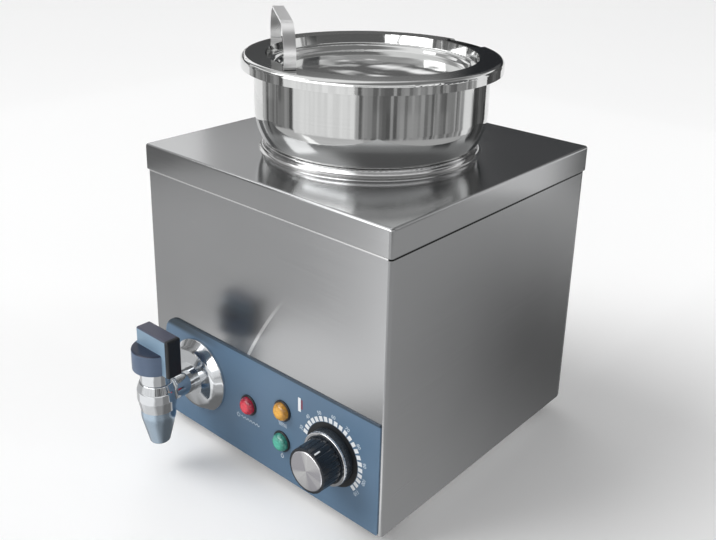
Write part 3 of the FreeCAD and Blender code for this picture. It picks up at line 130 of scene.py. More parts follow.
class Graph:
    """One node tree: a material's, the sky's or a modifier's. Its add method makes every node."""

    def __init__(self, tree):
        self.tree = tree

    def feed(self, node, sockets):
        """Gives a node's sockets, by name or identifier, a value or a wire each."""
        inputs = {socket.name: socket for socket in node.inputs}
        inputs.update({socket.identifier: socket for socket in node.inputs})
        for name, value in sockets.items():
            if isinstance(value, Wire):
                self.tree.links.new(value.socket, inputs[name])
            elif inputs[name].type == "RGBA":
                inputs[name].default_value = (*value, 1.0)
            else:
                inputs[name].default_value = value

    def add(self, kind, settings=None, sockets=None):
        """Adds a node, settings first, and gives the wires that come out of it."""
        node = self.tree.nodes.new(kind)
        for name, value in (settings or {}).items():
            if name == "stops":
                ramp = node.color_ramp.elements
                for spot, _ in value[1:-1]:
                    ramp.new(spot)
                for stop, (spot, colour) in zip(ramp, value):
                    stop.position = spot
                    stop.color = (*colour, 1.0)
            else:
                setattr(node, name, value)
        self.feed(node, sockets or {})
        wires = {socket.name: Wire(self, socket) for socket in node.outputs}
        wires.update({socket.identifier: Wire(self, socket) for socket in node.outputs})
        return wires

    def blend(self, share, first, second):
        """A colour between two others."""
        ends = {"Factor_Float": share, "A_Color": first, "B_Color": second}
        return self.add("ShaderNodeMix", {"data_type": "RGBA"}, ends)["Result_Color"]

    def window(self, value, low, high):
        """Nought below low and one above high, with a soft step between."""
        step = {"Value": value, "From Min": low, "From Max": high}
        return self.add("ShaderNodeMapRange", {"interpolation_type": "SMOOTHSTEP"}, step)["Result"]

    def noise(self, place, scale, detail=2.0, roughness=0.5):
        """Soft random grain between nought and one."""
        grain = {"Vector": place, "Scale": scale, "Detail": detail, "Roughness": roughness}
        return self.add("ShaderNodeTexNoise", {}, grain)["Fac"]

    def along(self, way, toward):
        """How far one direction goes along another."""
        pair = {"Vector": way, "Vector_001": toward}
        return self.add("ShaderNodeVectorMath", {"operation": "DOT_PRODUCT"}, pair)["Value"]

    def place(self):
        """The place on the piece, in the piece's own coordinates."""
        return self.add("ShaderNodeTexCoord")["Object"]

    def split(self, place):
        """X, Y and Z of a place."""
        return self.add("ShaderNodeSeparateXYZ", {}, {"Vector": place})

    def out_from(self, middle, place):
        """X, Y and Z of a place, counted from a middle."""
        pair = {"Vector": place, "Vector_001": middle}
        out = self.add("ShaderNodeVectorMath", {"operation": "SUBTRACT"}, pair)["Vector"]
        return self.split(out)

    def rings(self, count, detail):
        """Fine rings round a middle, from a number that grows outwards."""
        grain = {"W": count, "Scale": 1.0, "Detail": detail}
        return self.add("ShaderNodeTexNoise", {"noise_dimensions": "1D"}, grain)["Fac"]

    def bump(self, height):
        """The normal of a surface with a relief of this height in metres."""
        return self.add("ShaderNodeBump", {}, {"Distance": 1.0, "Height": height})["Normal"]


world = bpy.data.worlds.new("room")
world.use_nodes = True
scene.world = world
room = Graph(world.node_tree)
heading = room.add("ShaderNodeTexCoord")["Generated"]
toward_sky = room.split(heading)
height = toward_sky["Z"]
room_tones = [
    (0.00, (0.93,) * 3), (0.07, (0.85,) * 3), (0.11, (0.13,) * 3), (0.22, (0.13,) * 3),
    (0.27, (1.15,) * 3), (0.42, (1.15,) * 3), (0.52, (0.45,) * 3), (0.80, (0.50,) * 3),
    (1.0, (0.75,) * 3),
]
tone = room.add("ShaderNodeValToRGB", {"stops": room_tones}, {"Fac": height})["Color"]
level = room.add("ShaderNodeCombineXYZ", {}, {"X": toward_sky["X"], "Y": toward_sky["Y"]})["Vector"]
level = room.add("ShaderNodeVectorMath", {"operation": "NORMALIZE"}, {"Vector": level})["Vector"]
# Each gap: where it is round the room from the back (+Y) clockwise, its half width, its depth.
room_gaps = [
    (-20.0, 15.0, 0.93), (-48.6, 2.8, 0.5), (-80.0, 7.0, 0.8),
    (60.0, 12.0, 0.85), (215.0, 8.0, 0.8),
]
light = 1.0
for gap_turn, gap_half, gap_depth in room_gaps:
    toward = Vector((math.sin(math.radians(gap_turn)), math.cos(math.radians(gap_turn)), 0.0))
    edge = math.cos(math.radians(gap_half * 1.1))
    core = math.cos(math.radians(gap_half * 0.9))
    light = light * (1.0 - room.window(room.along(level, toward), edge, core) * gap_depth)
# High up, the room is dim toward the right of the box and bright toward its left.
overhead = room.window(height, 0.60, 0.72)
east = room.along(level, (0.97, 0.24, 0.0))
tone = room.blend(overhead * room.window(east, -0.35, 0.30), tone, (0.22, 0.22, 0.22))
tone = room.blend(overhead * room.window(0.0 - east, 0.10, 0.60), tone, (1.0, 1.0, 1.0))
low_edge = room.window(height, 0.08, 0.16)
high_edge = 1.0 - room.window(height, 0.52, 0.62)
light = 1.0 - (1.0 - light) * low_edge * high_edge
background = world.node_tree.nodes["Background"]
room.feed(background, {"Color": room.blend(light, (0.015, 0.017, 0.02), tone)})


def new_finish(name):
    """A material, and its tree."""
    material = bpy.data.materials.new(name)
    material.use_nodes = True
    return material, Graph(material.node_tree)


def shade(graph, **sockets):
    """Sets the shader's own sockets. An underscore in a name stands for a space."""
    shader = graph.tree.nodes["Principled BSDF"]
    graph.feed(shader, {name.replace("_", " "): value for name, value in sockets.items()})


def build(name, mesh, material):
    """Puts a finished mesh in the scene at the origin."""
    piece = bpy.data.objects.new(name, mesh)
    mesh.materials.append(material)
    scene.collection.objects.link(piece)
    return piece


floor_finish, floor_graph = new_finish("floor")
floor_cloud = floor_graph.noise(floor_graph.place(), 1.5)
floor_colour = floor_graph.blend(floor_cloud, (0.94, 0.94, 0.94), (0.96, 0.96, 0.96))
shade(floor_graph, Base_Color=floor_colour, Roughness=0.75)
floor_mesh = bpy.data.meshes.new("floor")
floor_shape = bmesh.new()
bmesh.ops.create_circle(floor_shape, cap_ends=True, segments=96, radius=14.0)
floor_shape.to_mesh(floor_mesh)
floor_shape.free()
build("floor", floor_mesh, floor_finish)


def lamp(name, kind, spot, aim, power, glossy=True, **shape):
    """A lamp aimed at a point. Polished metal shows it only where glossy is set."""
    lamp_data = bpy.data.lights.new(name, kind)
    lamp_data.energy = power
    for part, value in shape.items():
        setattr(lamp_data, part, value)
    piece = bpy.data.objects.new(name, lamp_data)
    piece.location = spot
    piece.rotation_euler = (Vector(aim) - Vector(spot)).to_track_quat("-Z", "Y").to_euler()
    piece.visible_glossy = glossy
    scene.collection.objects.link(piece)


box_middle = (0.0, 0.0, 0.2)
sun_spread = math.radians(40.0)
lamp("sun_lamp", "SUN", (-1.2, -1.0, 1.45), (0.0, 0.0, 0.0), 1.75, False, angle=sun_spread)
key_shape = {"shape": "RECTANGLE", "size": 1.1, "size_y": 0.9}
rim_shape = {"shape": "RECTANGLE", "size": 0.35, "size_y": 0.9}
lamp("key_box", "AREA", (-1.25, -1.35, 1.55), box_middle, 6.0, **key_shape)
lamp("rim_box", "AREA", (1.3, 1.2, 1.4), box_middle, 4.0, False, **rim_shape)

# White and dark boards stand round the table out of the picture. Only polished metal sees them.
# Each span: two bearings in degrees from the back clockwise, its grey and how far that strays, and
# the heights of its foot and top.
board_spans = [
    (2, 31, 0.10, 0.05, 0.0, 0.62), (33, 45, 0.95, 0.02, 0.0, 0.62), (46, 54, 0.4, 0.2, 0.0, 0.62),
    (54, 152, 0.27, 0.15, 0.0, 0.24), (153, 215, 0.93, 0.06, 0.0, 0.62),
    (216, 256, 0.22, 0.12, 0.026, 0.62), (256, 264, 0.5, 0.1, 0.0, 0.62),
]
board_reach = 0.78
upper_foot = 0.22
upper_gain = 2.1
chance = random.Random(11)
board_mesh = bpy.data.meshes.new("boards")
board_shape = bmesh.new()
board_tone = board_shape.faces.layers.float.new("tone")


def add_board(first, last, low, high, reach, grey):
    """One upright face between two bearings and two heights."""
    corners = []
    for bearing, up in ((first, low), (last, low), (last, high), (first, high)):
        side = math.radians(bearing)
        spot = (math.sin(side) * reach, math.cos(side) * reach, up)
        corners.append(board_shape.verts.new(spot))
    board_shape.faces.new(corners)[board_tone] = grey


for first, last, grey, spread, board_foot, board_top in board_spans:
    edge = first
    while edge < last:
        after = min(edge + chance.uniform(1.0, 4.5), last)
        middle_tone = grey + chance.uniform(-spread, spread)
        levels = [board_foot, chance.uniform(0.03, 0.05), chance.uniform(0.06, 0.08)]
        levels += [0.12, upper_foot, board_top]
        for low, high in zip(levels, levels[1:]):
            gain = upper_gain if low == upper_foot and 153 <= first < 215 else 1.0
            grey_here = max(0.02, middle_tone + chance.uniform(-spread, spread) * 0.4) * gain
            add_board(edge, after, low, high, board_reach, grey_here)
        edge = after
# A brighter row, higher up at the front, stands a little before the others.
high_reach = 0.77
high_grey = 5.2
for first in range(160, 208, 4):
    add_board(first, first + 4, 0.34, 0.60, high_reach, high_grey)
board_shape.to_mesh(board_mesh)
board_shape.free()
board_finish, board_graph = new_finish("boards")
board_grey = board_graph.add("ShaderNodeAttribute", {"attribute_name": "tone"})["Fac"]
board_greys = {"X": board_grey, "Y": board_grey, "Z": board_grey}
board_colour = board_graph.add("ShaderNodeCombineXYZ", {}, board_greys)["Vector"]
shade(board_graph, Base_Color=(0.0, 0.0, 0.0), Specular_IOR_Level=0.0)
shade(board_graph, Emission_Color=board_colour, Emission_Strength=1.0)


def for_metal_only(piece):
    """Leaves a piece of the studio to the mirror of the metal alone."""
    piece.visible_camera = False
    piece.visible_diffuse = False
    piece.visible_shadow = False
    piece.visible_transmission = False


for_metal_only(build("boards", board_mesh, board_finish))


# A card on the table carries the tones that the box's sides show. Round the tap's spot and up to
# each bearing in degrees, its tone is the number beside it.
tap_spot = Vector((-0.07, -0.149))
tap_near = 0.18
tap_under = 0.075
tap_tones = ((100.0, 0.25), (145.0, 0.48), (240.0, 1.1), (300.0, 0.65), (360.0, 0.25))
box_side = 0.13
box_front = 0.104
# Before the box the tones go by bands that lie aslant, and far off the table is plain.
far_front = -0.58
half_way = -0.40
band_start = 0.06
band_rise = 0.11
bright_start = 0.186
bright_end = 0.27
# On its right lies the box's painted shadow, a dark blot longer one way than the other.
blot_spot = Vector((0.19, 0.24))
blot_long = 0.28
blot_wide = 0.12


def table_tone(across, back):
    """How bright the table looks in the box's sides: pale before it, dim in the shade behind."""
    side = across - box_side
    front = back + box_front
    from_tap = Vector((across, back)) - tap_spot
    if from_tap.length < tap_near and front < 0.0:
        tap_bearing = math.degrees(math.atan2(from_tap.x, from_tap.y)) % 360.0
        for limit, tone_there in tap_tones:
            if tap_bearing <= limit:
                return tone_there * (0.72 if from_tap.length < tap_under else 1.0)
    bearing = math.degrees(math.atan2(side, front)) % 360.0
    if front < far_front and bearing > 150.0:
        return 0.62
    if front < 0.0 and bearing > 150.0:
        along = across * 0.758 - back * 0.652
        rise = min(max((along - band_start) / band_rise, 0.0), 1.0)
        if along > bright_start:
            return 1.4 if along < bright_end else 0.66
        return 0.57 + rise * rise * (0.22 if front < half_way else 0.36)
    if side > 0.0:
        out = (across - blot_spot.x) * 0.5 + (back - blot_spot.y) * 0.866
        off = (across - blot_spot.x) * 0.866 - (back - blot_spot.y) * 0.5
        return 0.49 - 0.35 * math.exp(-(out / blot_long) ** 2 - (off / blot_wide) ** 2)
    return 0.9


card_mesh = bpy.data.meshes.new("table_card")
card_shape = bmesh.new()
bmesh.ops.create_grid(card_shape, x_segments=160, y_segments=160, size=1.2)
card_tone = card_shape.verts.layers.float.new("tone")
for vert in card_shape.verts:
    vert.co.z = 0.0004
    vert[card_tone] = table_tone(vert.co.x, vert.co.y)
card_shape.to_mesh(card_mesh)
card_shape.free()
for_metal_only(build("table_card", card_mesh, board_finish))


# ---------------------------------------------------------------------------------------------
# The box: one stainless sheet folded round the front and both sides, a back sheet and a bottom
# sheet screwed in, and a cover pressed from sheet of the same gauge. The mill's grain runs level.

def sheet_steel(name, tone, gloss, stretch, rim=None):
    """Stainless sheet: straight fine grain, a cloudy sheen, and the slight wave of thin metal."""
    material, graph = new_finish(name)
    place = graph.place()
    drawn = graph.add("ShaderNodeMapping", {}, {"Vector": place, "Scale": stretch})["Vector"]
    grain = graph.noise(drawn, 1.0, 4.0, 0.65)
    cloud = graph.noise(place, 9.0, 3.0)
    wave = graph.noise(place, 3.4, 1.0)
    dark = tuple(part * 0.86 for part in tone)
    light_tone = tuple(min(part * 1.1, 1.0) for part in tone)
    colour = graph.blend(cloud * 0.55 + grain * 0.45, dark, light_tone)
    if rim:
        # Painted by place on the sheet: a painted shadow line under the cover's rim on the right
        # side, and a painted highlight line under it on the front.
        parts = graph.split(place)
        fold_start = 0.1262
        fold_end = 0.1275
        front_face = -0.1041
        right_side = graph.window(parts["X"], fold_start, fold_end)
        painted_shadow_line = graph.window(parts["Z"], rim - 0.0022, rim - 0.0015) * right_side
        painted_highlight = graph.window(parts["Z"], rim - 0.0018, rim - 0.0012) * (1.0 - right_side)
        colour = graph.blend(painted_shadow_line * 0.97, colour, (0.01, 0.01, 0.01))
        colour = graph.blend(painted_highlight * 0.8, colour, (0.95, 0.95, 0.95))
        # Painted too, in millimetres: a painted streak of light, cast by the tap's chrome, that
        # climbs from the panel's top and leans more to the right as it fades.
        streak_foot = 0.112
        streak_left = 7.9
        streak_lean = 0.545
        streak_bend = 0.00206
        above = (parts["Z"] - streak_foot) * 1000.0
        leaned = above * streak_lean + above * above * streak_bend
        off_line = parts["X"] * 1000.0 + streak_left - leaned
        painted_light_streak = 1.0 - graph.window(off_line * off_line, 0.7, 4.2)
        painted_light_streak = painted_light_streak * (1.0 - graph.window(above, 12.0, 60.0))
        on_front = 1.0 - graph.window(parts["Y"], front_face, front_face + 0.0004)
        colour = graph.blend(painted_light_streak * on_front, colour, (1.0, 1.0, 1.0))
    rough = gloss + (grain - 0.5) * 0.10 + (cloud - 0.5) * 0.08
    relief = grain * 0.000004 + wave * 0.0005
    shade(graph, Base_Color=colour, Metallic=1.0, Roughness=rough, Normal=graph.bump(relief))
    return material


def dress(names, material):
    """Gives CAD nodes their finish."""
    for name in names.split():
        for slot in nodes[name].material_slots:
            slot.material = material


cover_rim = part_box("top_cover")[0].z
level_grain = (9.0, 9.0, 1100.0)
casing_steel = sheet_steel("casing_steel", (0.465, 0.47, 0.476), 0.24, level_grain, cover_rim)
cover_steel = sheet_steel("cover_steel", (0.475, 0.48, 0.485), 0.15, (9.0, 1100.0, 1100.0))
dress("outer_casing rear_panel", casing_steel)
dress("top_cover", cover_steel)
dress("base_plate", sheet_steel("base_steel", (0.40, 0.40, 0.40), 0.32, (9.0, 900.0, 900.0)))


# ---------------------------------------------------------------------------------------------
# Screws and feet: pan-head screws turned from stainless wire, and moulded rubber cones.

def turned_metal(name, tone, gloss, depth=0.000003):
    """Metal off a lathe or a header: fine rings and a few darker marks."""
    material, graph = new_finish(name)
    place = graph.place()
    speck = graph.noise(place, 900.0, 3.0)
    smear = graph.noise(place, 120.0, 2.0)
    colour = graph.blend(smear, tuple(part * 0.82 for part in tone), tone)
    relief = graph.bump(speck * depth)
    shade(graph, Base_Color=colour, Metallic=1.0, Roughness=gloss + smear * 0.1, Normal=relief)
    return material


def moulded(name, colour, gloss, grain_size=1400.0, depth=0.00001, mottle=0.12):
    """Moulded plastic or rubber: the mould's fine grain, and a faint mottle in its colour."""
    material, graph = new_finish(name)
    place = graph.place()
    grain = graph.noise(place, grain_size, 3.0)
    patch = graph.noise(place, 60.0, 2.0)
    dark = tuple(part * (1.0 - mottle) for part in colour)
    light_tone = tuple(min(part * (1.0 + mottle), 1.0) for part in colour)
    relief = graph.bump(grain * depth)
    rough = gloss + (patch - 0.5) * 0.12 + (grain - 0.5) * 0.05
    tint = graph.blend(patch, dark, light_tone)
    shade(graph, Base_Color=tint, Roughness=rough, Normal=relief)
    return material


screw_metal = turned_metal("screw_metal", (0.55, 0.55, 0.55), 0.28)
dress("foot_screws rear_screws element_nuts", screw_metal)
dress("feet", moulded("foot_rubber", (0.018, 0.018, 0.019), 0.62, 900.0, 0.00002))


# ---------------------------------------------------------------------------------------------
# Pot, lid, handle and collar: drawn stainless, spun while it is buffed, so that the mirror is
# crossed by the faintest rings round its own middle.

def polished_steel(name, tone, gloss, middle, floor_wave=None, flange=None):
    """Buffed steel. A pressed floor waves within its reach. A flange carries painted shade, dark by
    place on the piece, where it lies under the lid's notch."""
    material, graph = new_finish(name)
    place = graph.place()
    parts = graph.out_from(middle, place)
    radius = (parts["X"] * parts["X"] + parts["Y"] * parts["Y"]) ** 0.5
    rings = graph.rings(radius * 900.0 + parts["Z"] * 700.0, 3.0)
    cloud = graph.noise(place, 22.0, 2.0)
    ripple = graph.noise(place, 26.0, 1.0)
    colour = graph.blend(rings * 0.5 + cloud * 0.5, tuple(part * 0.9 for part in tone), tone)
    if flange:
        reach, level = flange
        # Painted shade on the flange under the lid's notch.
        to_notch = parts["X"] * 0.2588 + parts["Y"] * 0.9659
        painted_notch_shade = graph.window(radius, reach, reach + 0.0005)
        painted_notch_shade = painted_notch_shade * graph.window(parts["Z"], level, level + 0.0004)
        painted_notch_shade = painted_notch_shade * graph.window(to_notch / radius, 0.960, 0.972)
        colour = graph.blend(painted_notch_shade * 0.95, colour, (0.03, 0.03, 0.03))
    relief = rings * 0.0000012 + ripple * 0.00003
    if floor_wave:
        reach, depth = floor_wave
        swell = graph.noise(place, 17.0, 1.5)
        relief = relief + (swell - 0.5) * depth * (1.0 - graph.window(radius, reach - 0.012, reach))
    rough = gloss + rings * 0.03 + cloud * 0.02
    shade(graph, Base_Color=colour, Metallic=1.0, Roughness=rough, Normal=graph.bump(relief))
    return material


hole_middle = (0.0, 0.02365, 0.0)
pot_flange = (0.0925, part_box("pot")[1].z - 0.0013)
lid_floor = (0.062, 0.004)
dress("pot", polished_steel("pot_steel", (0.70, 0.705, 0.70), 0.045, hole_middle, None, pot_flange))
dress("lid", polished_steel("lid_steel", (0.74, 0.745, 0.74), 0.04, hole_middle, lid_floor))
dress("lid_handle", polished_steel("handle_steel", (0.92, 0.92, 0.92), 0.26, hole_middle))
dress("collar_ring", polished_steel("collar_steel", (0.62, 0.62, 0.62), 0.14, hole_middle))


# ---------------------------------------------------------------------------------------------
# Inside the box: the drawn tank with its spud, the element, the thermostat with its bulb and
# capillary, the cut-out under the tank and the terminal block.

tank_steel = sheet_steel("tank_steel", (0.46, 0.46, 0.455), 0.30, (300.0, 300.0, 12.0))
dress("water_tank drain_spud", tank_steel)
dress("bulb_clip thermostat_shaft", turned_metal("clip_steel", (0.52, 0.52, 0.52), 0.25))
dress("heating_element", turned_metal("element_sheath", (0.20, 0.18, 0.16), 0.42, 0.00001))
dress("thermostat_body", turned_metal("thermostat_case", (0.48, 0.48, 0.47), 0.36))
dress("thermostat_bulb capillary_tube", turned_metal("copper", (0.70, 0.36, 0.22), 0.22))
dress("overheat_cutout", moulded("cutout_plastic", (0.035, 0.028, 0.022), 0.45))
dress("terminal_block", moulded("block_plastic", (0.74, 0.71, 0.64), 0.42))
dress("cable_gland gland_nut", moulded("gland_plastic", (0.022, 0.022, 0.024), 0.40))


# ---------------------------------------------------------------------------------------------
# The control panel: blue-grey film printed and bonded on a thin sheet, with the scale of the
# thermostat and the pictures at the lamps in the printer's inks. Its dark top edge is painted by
# place, and so is a painted shadow of the tap along the top of its left end.

panel_material, panel_graph = new_finish("panel_blue")
panel_place = panel_graph.place()
panel_grain = panel_graph.noise(panel_place, 1700.0, 3.0)
panel_cloud = panel_graph.noise(panel_place, 16.0, 2.0)
panel_mottle = panel_cloud * 0.7 + panel_grain * 0.3
panel_tint = panel_graph.blend(panel_mottle, (0.084, 0.152, 0.236), (0.108, 0.186, 0.284))
panel_low, panel_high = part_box("control_panel")
panel_parts = panel_graph.split(panel_place)
edge_line = panel_graph.window(panel_parts["Z"], panel_high.z - 0.0019, panel_high.z - 0.0011)
left_end = 1.0 - panel_graph.window(panel_parts["X"], -0.100, -0.030)
# Painted shadow of the tap along the top of the panel's left end.
tap_shade = panel_graph.window(panel_parts["Z"], panel_high.z - 0.0105, panel_high.z - 0.0055)
panel_tint = panel_graph.blend(edge_line * 0.75, panel_tint, (0.012, 0.020, 0.030))
panel_tint = panel_graph.blend(tap_shade * left_end * 0.92, panel_tint, (0.010, 0.022, 0.032))
panel_bump = panel_graph.bump(panel_grain * 0.000006)
shade(panel_graph, Base_Color=panel_tint, Roughness=0.36 + panel_grain * 0.1, Normal=panel_bump)
dress("control_panel", panel_material)

panel_face = panel_low.y
dial_middle = Vector((0.081, panel_face, 0.061))
ink_height = 0.00008


def ink(name, colour):
    """Screen-printed ink: flat colour with the mesh's faint grain."""
    return moulded(name, colour, 0.42, 2600.0, 0.000002, 0.05)


white_ink = ink("white_ink", (0.80, 0.82, 0.84))
black_ink = ink("black_ink", (0.010, 0.011, 0.013))
dark_red_ink = ink("dark_red_ink", (0.20, 0.02, 0.05))
pale_ink = ink("pale_ink", (0.50, 0.58, 0.66))


def new_tree(name, inputs):
    """A geometry tree with named inputs, and the wires of those inputs."""
    tree = bpy.data.node_groups.new(name, "GeometryNodeTree")
    for label, kind in inputs.items():
        tree.interface.new_socket(name=label, in_out="INPUT", socket_type=f"NodeSocket{kind}")
    tree.interface.new_socket(name="Geometry", in_out="OUTPUT", socket_type="NodeSocketGeometry")
    graph = Graph(tree)
    return graph, graph.add("NodeGroupInput")


def end_tree(graph, geometry, material):
    """Ends a tree with real faces in one material."""
    real = graph.add("GeometryNodeRealizeInstances", {}, {"Geometry": geometry})["Geometry"]
    pair = {"Geometry": real, "Material": material}
    done = graph.add("GeometryNodeSetMaterial", {}, pair)["Geometry"]
    graph.add("NodeGroupOutput", {}, {"Geometry": done})


def grow(name, graph, values):
    """Runs a tree once and keeps the plain mesh that it makes."""
    maker = bpy.data.objects.new(name, bpy.data.meshes.new(name))
    scene.collection.objects.link(maker)
    modifier = maker.modifiers.new("grow", "NODES")
    modifier.node_group = graph.tree
    for item in graph.tree.interface.items_tree:
        if item.in_out == "INPUT":
            modifier[item.identifier] = values[item.name]
    finished = maker.evaluated_get(bpy.context.evaluated_depsgraph_get())
    mesh = bpy.data.meshes.new_from_object(finished)
    maker.modifiers.clear()
    maker.data = mesh
    return maker


ticks, wanted = new_tree("dial_ticks", {
    "Count": "Int", "Radius": "Float", "First": "Float", "Sweep": "Float",
    "Bar": "Vector", "Middle": "Vector", "Material": "Material",
})
number = ticks.add("GeometryNodeInputIndex")["Index"]
angle = wanted["First"] + wanted["Sweep"] * number / (wanted["Count"] - 1.0)
round_dial = {
    "X": angle.wave("SINE") * wanted["Radius"], "Z": angle.wave("COSINE") * wanted["Radius"],
}
spot = ticks.add("ShaderNodeCombineXYZ", {}, round_dial)["Vector"]
from_middle = {"Vector": spot, "Vector_001": wanted["Middle"]}
spot = ticks.add("ShaderNodeVectorMath", {}, from_middle)["Vector"]
points = ticks.add("GeometryNodePoints", {}, {"Count": wanted["Count"], "Position": spot})["Points"]
bar = ticks.add("GeometryNodeMeshCube", {}, {"Size": wanted["Bar"]})["Mesh"]
lean = ticks.add("ShaderNodeCombineXYZ", {}, {"Y": angle})["Vector"]
lean = ticks.add("FunctionNodeEulerToRotation", {}, {"Euler": lean})["Rotation"]
placed = {"Points": points, "Instance": bar, "Rotation": lean}
bars = ticks.add("GeometryNodeInstanceOnPoints", {}, placed)["Instances"]
end_tree(ticks, bars, wanted["Material"])

scale_first = math.radians(-75.0)
scale_sweep = math.radians(205.0)
scale_reach = 0.0280
bar_size = (0.0034, ink_height, 0.0040)
dial_scale = grow("dial_scale", ticks, {
    "Count": 21, "Radius": scale_reach, "First": scale_first, "Sweep": scale_sweep,
    "Bar": bar_size, "Middle": dial_middle, "Material": white_ink,
})
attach(dial_scale, "housing")


def flat_ring(name, middle, inner, outer, thick, material):
    """A washer that faces the front, lying on its middle's plane."""
    mesh = bpy.data.meshes.new(name)
    shape = bmesh.new()
    sides = 96
    rows = []
    for index in range(sides):
        bearing = math.tau * index / sides
        out = Vector((math.sin(bearing), 0.0, math.cos(bearing)))
        rows.append([
            shape.verts.new(middle + out * reach + Vector((0.0, -lift, 0.0)))
            for reach, lift in ((inner, 0.0), (inner, thick), (outer, thick), (outer, 0.0))
        ])
    for index in range(sides):
        here = rows[index]
        after = rows[(index + 1) % sides]
        for corner in range(4):
            across = (corner + 1) % 4
            shape.faces.new((here[corner], here[across], after[across], after[corner]))
    bmesh.ops.recalc_face_normals(shape, faces=shape.faces)
    shape.to_mesh(mesh)
    shape.free()
    return build(name, mesh, material)


ground_inner = 0.0190
ground_outer = 0.0256
ground_height = ink_height * 0.8
dial_ground = flat_ring(
    "dial_ground", dial_middle, ground_inner, ground_outer, ground_height, black_ink,
)
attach(dial_ground, "housing")


def letters(name, text, tall, middle, lean, material, bold):
    """Printed figures, centred on their middle and facing the front."""
    curve = bpy.data.curves.new(name, "FONT")
    curve.body = text
    size_for_height = 1.45
    curve.size = tall * size_for_height
    curve.align_x = "CENTER"
    curve.align_y = "CENTER"
    curve.extrude = ink_height / 2
    curve.offset = bold
    curve.resolution_u = 3
    drawn = bpy.data.objects.new(name, curve)
    scene.collection.objects.link(drawn)
    finished = drawn.evaluated_get(bpy.context.evaluated_depsgraph_get())
    mesh = bpy.data.meshes.new_from_object(finished)
    bpy.data.objects.remove(drawn)
    upright = Matrix.Rotation(math.pi / 2, 4, "X")
    mesh.transform(Matrix.Translation(middle) @ Matrix.Rotation(lean, 4, "Y") @ upright)
    mesh.materials.clear()
    return build(name, mesh, material)


def join(name, pieces):
    """Several meshes as one piece."""
    shape = bmesh.new()
    for piece in pieces:
        shape.from_mesh(piece.data)
    material = pieces[0].data.materials[0]
    for piece in pieces:
        bpy.data.objects.remove(piece)
    mesh = bpy.data.meshes.new(name)
    shape.to_mesh(mesh)
    shape.free()
    return build(name, mesh, material)


figure_reach = 0.0324
figure_tall = 0.0029
figure_bold = 0.00008
figures = []
for index in range(9):
    bearing = scale_first + scale_sweep * index / 8
    at = dial_middle + Vector((math.sin(bearing), 0.0, math.cos(bearing))) * figure_reach
    name = f"figure_{index}"
    degrees = str(30 + index * 10)
    figures.append(letters(name, degrees, figure_tall, at, bearing, pale_ink, figure_bold))
dial_figures = join("dial_figures", figures)
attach(dial_figures, "housing")


def strokes(name, lines, middle, wide, material):
    """Printed lines of even width: each a run of points, across and up in millimetres."""
    mesh = bpy.data.meshes.new(name)
    shape = bmesh.new()
    for line in lines:
        spots = [Vector((across / 1000.0, 0.0, up / 1000.0)) for across, up in line]
        closed = line[0] == line[-1]
        rows = []
        for index, spot in enumerate(spots):
            before = spots[index - 1] if index else (spots[-2] if closed else spot)
            after = spots[index + 1] if index + 1 < len(spots) else (spots[1] if closed else spot)
            way = (after - before).normalized()
            side = Vector((-way.z, 0.0, way.x)) * (wide / 2)
            section = ((side, 0.0), (side, ink_height), (-side, ink_height), (-side, 0.0))
            rows.append([
                shape.verts.new(middle + spot + offset + Vector((0.0, -lift, 0.0)))
                for offset, lift in section
            ])
        for here, beyond in zip(rows, rows[1:]):
            for corner in range(4):
                across = (corner + 1) % 4
                shape.faces.new((here[corner], here[across], beyond[across], beyond[corner]))
        shape.faces.new(rows[0])
        shape.faces.new(rows[-1])
    bmesh.ops.recalc_face_normals(shape, faces=shape.faces)
    shape.to_mesh(mesh)
    shape.free()
    return build(name, mesh, material)


def arc_line(across, up, reach, first, last, steps=24):
    """Points of an arc, from one bearing to another in degrees clockwise from the top."""
    turns = [math.radians(first + (last - first) * index / steps) for index in range(steps + 1)]
    return [(across + math.sin(turn) * reach, up + math.cos(turn) * reach) for turn in turns]


def on_panel(across, up):
    """A point on the panel, in millimetres, with its height above the casing's foot."""
    return Vector((across / 1000.0, panel_face, (up + 13.0) / 1000.0))


# A thermometer beside the scale, and small signs under the lamps: mains, heat and water.
wave = [(math.sin(step / 2.2) * 0.45, step * 0.28 - 1.7) for step in range(13)]
heat_shifts = (-3.9, -2.6, -1.3, 0.0, 1.3, 2.6, 3.9)
heat_lines = [[(across + shift, up) for across, up in wave] for shift in heat_shifts]
drop_foot = arc_line(0.0, -0.2, 1.35, 297.0, 63.0, 14)
drop = [(0.0, 2.4), (-1.2, 0.4)] + drop_foot + [(1.2, 0.4), (0.0, 2.4)]
glass_line = [(0.0, -1.4), (0.0, 10.4)]
column_line = [(0.0, 1.4), (0.0, 9.4)]
prints = [
    strokes("thermometer_glass", [glass_line], on_panel(47.4, 71.0), 0.0028, white_ink),
    strokes("mains_sign", [
        arc_line(-13.0, 0.0, 1.7, 35.0, 325.0), [(-13.0, 0.6), (-13.0, 2.3)],
        [(step * 0.35 - 9.5, math.sin(step / 1.6) * 0.9) for step in range(62)],
    ], on_panel(-9.5, 35.0), 0.0006, pale_ink),
    strokes("heat_sign", heat_lines, on_panel(29.2, 49.5), 0.0005, pale_ink),
    strokes("water_sign", [drop], on_panel(28.4, 20.5), 0.00045, white_ink),
    strokes("thermometer_column", [column_line], on_panel(50.0, 71.0), 0.0015, dark_red_ink),
]
for piece in prints:
    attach(piece, "housing")


# ---------------------------------------------------------------------------------------------
# Signal lamps: a black bezel with its barrel through the panel, and a clear coloured cap,
# moulded with fine ribs inside that spread the lamp's light.

dress("lamp_housings", moulded("bezel_plastic", (0.014, 0.015, 0.017), 0.30))


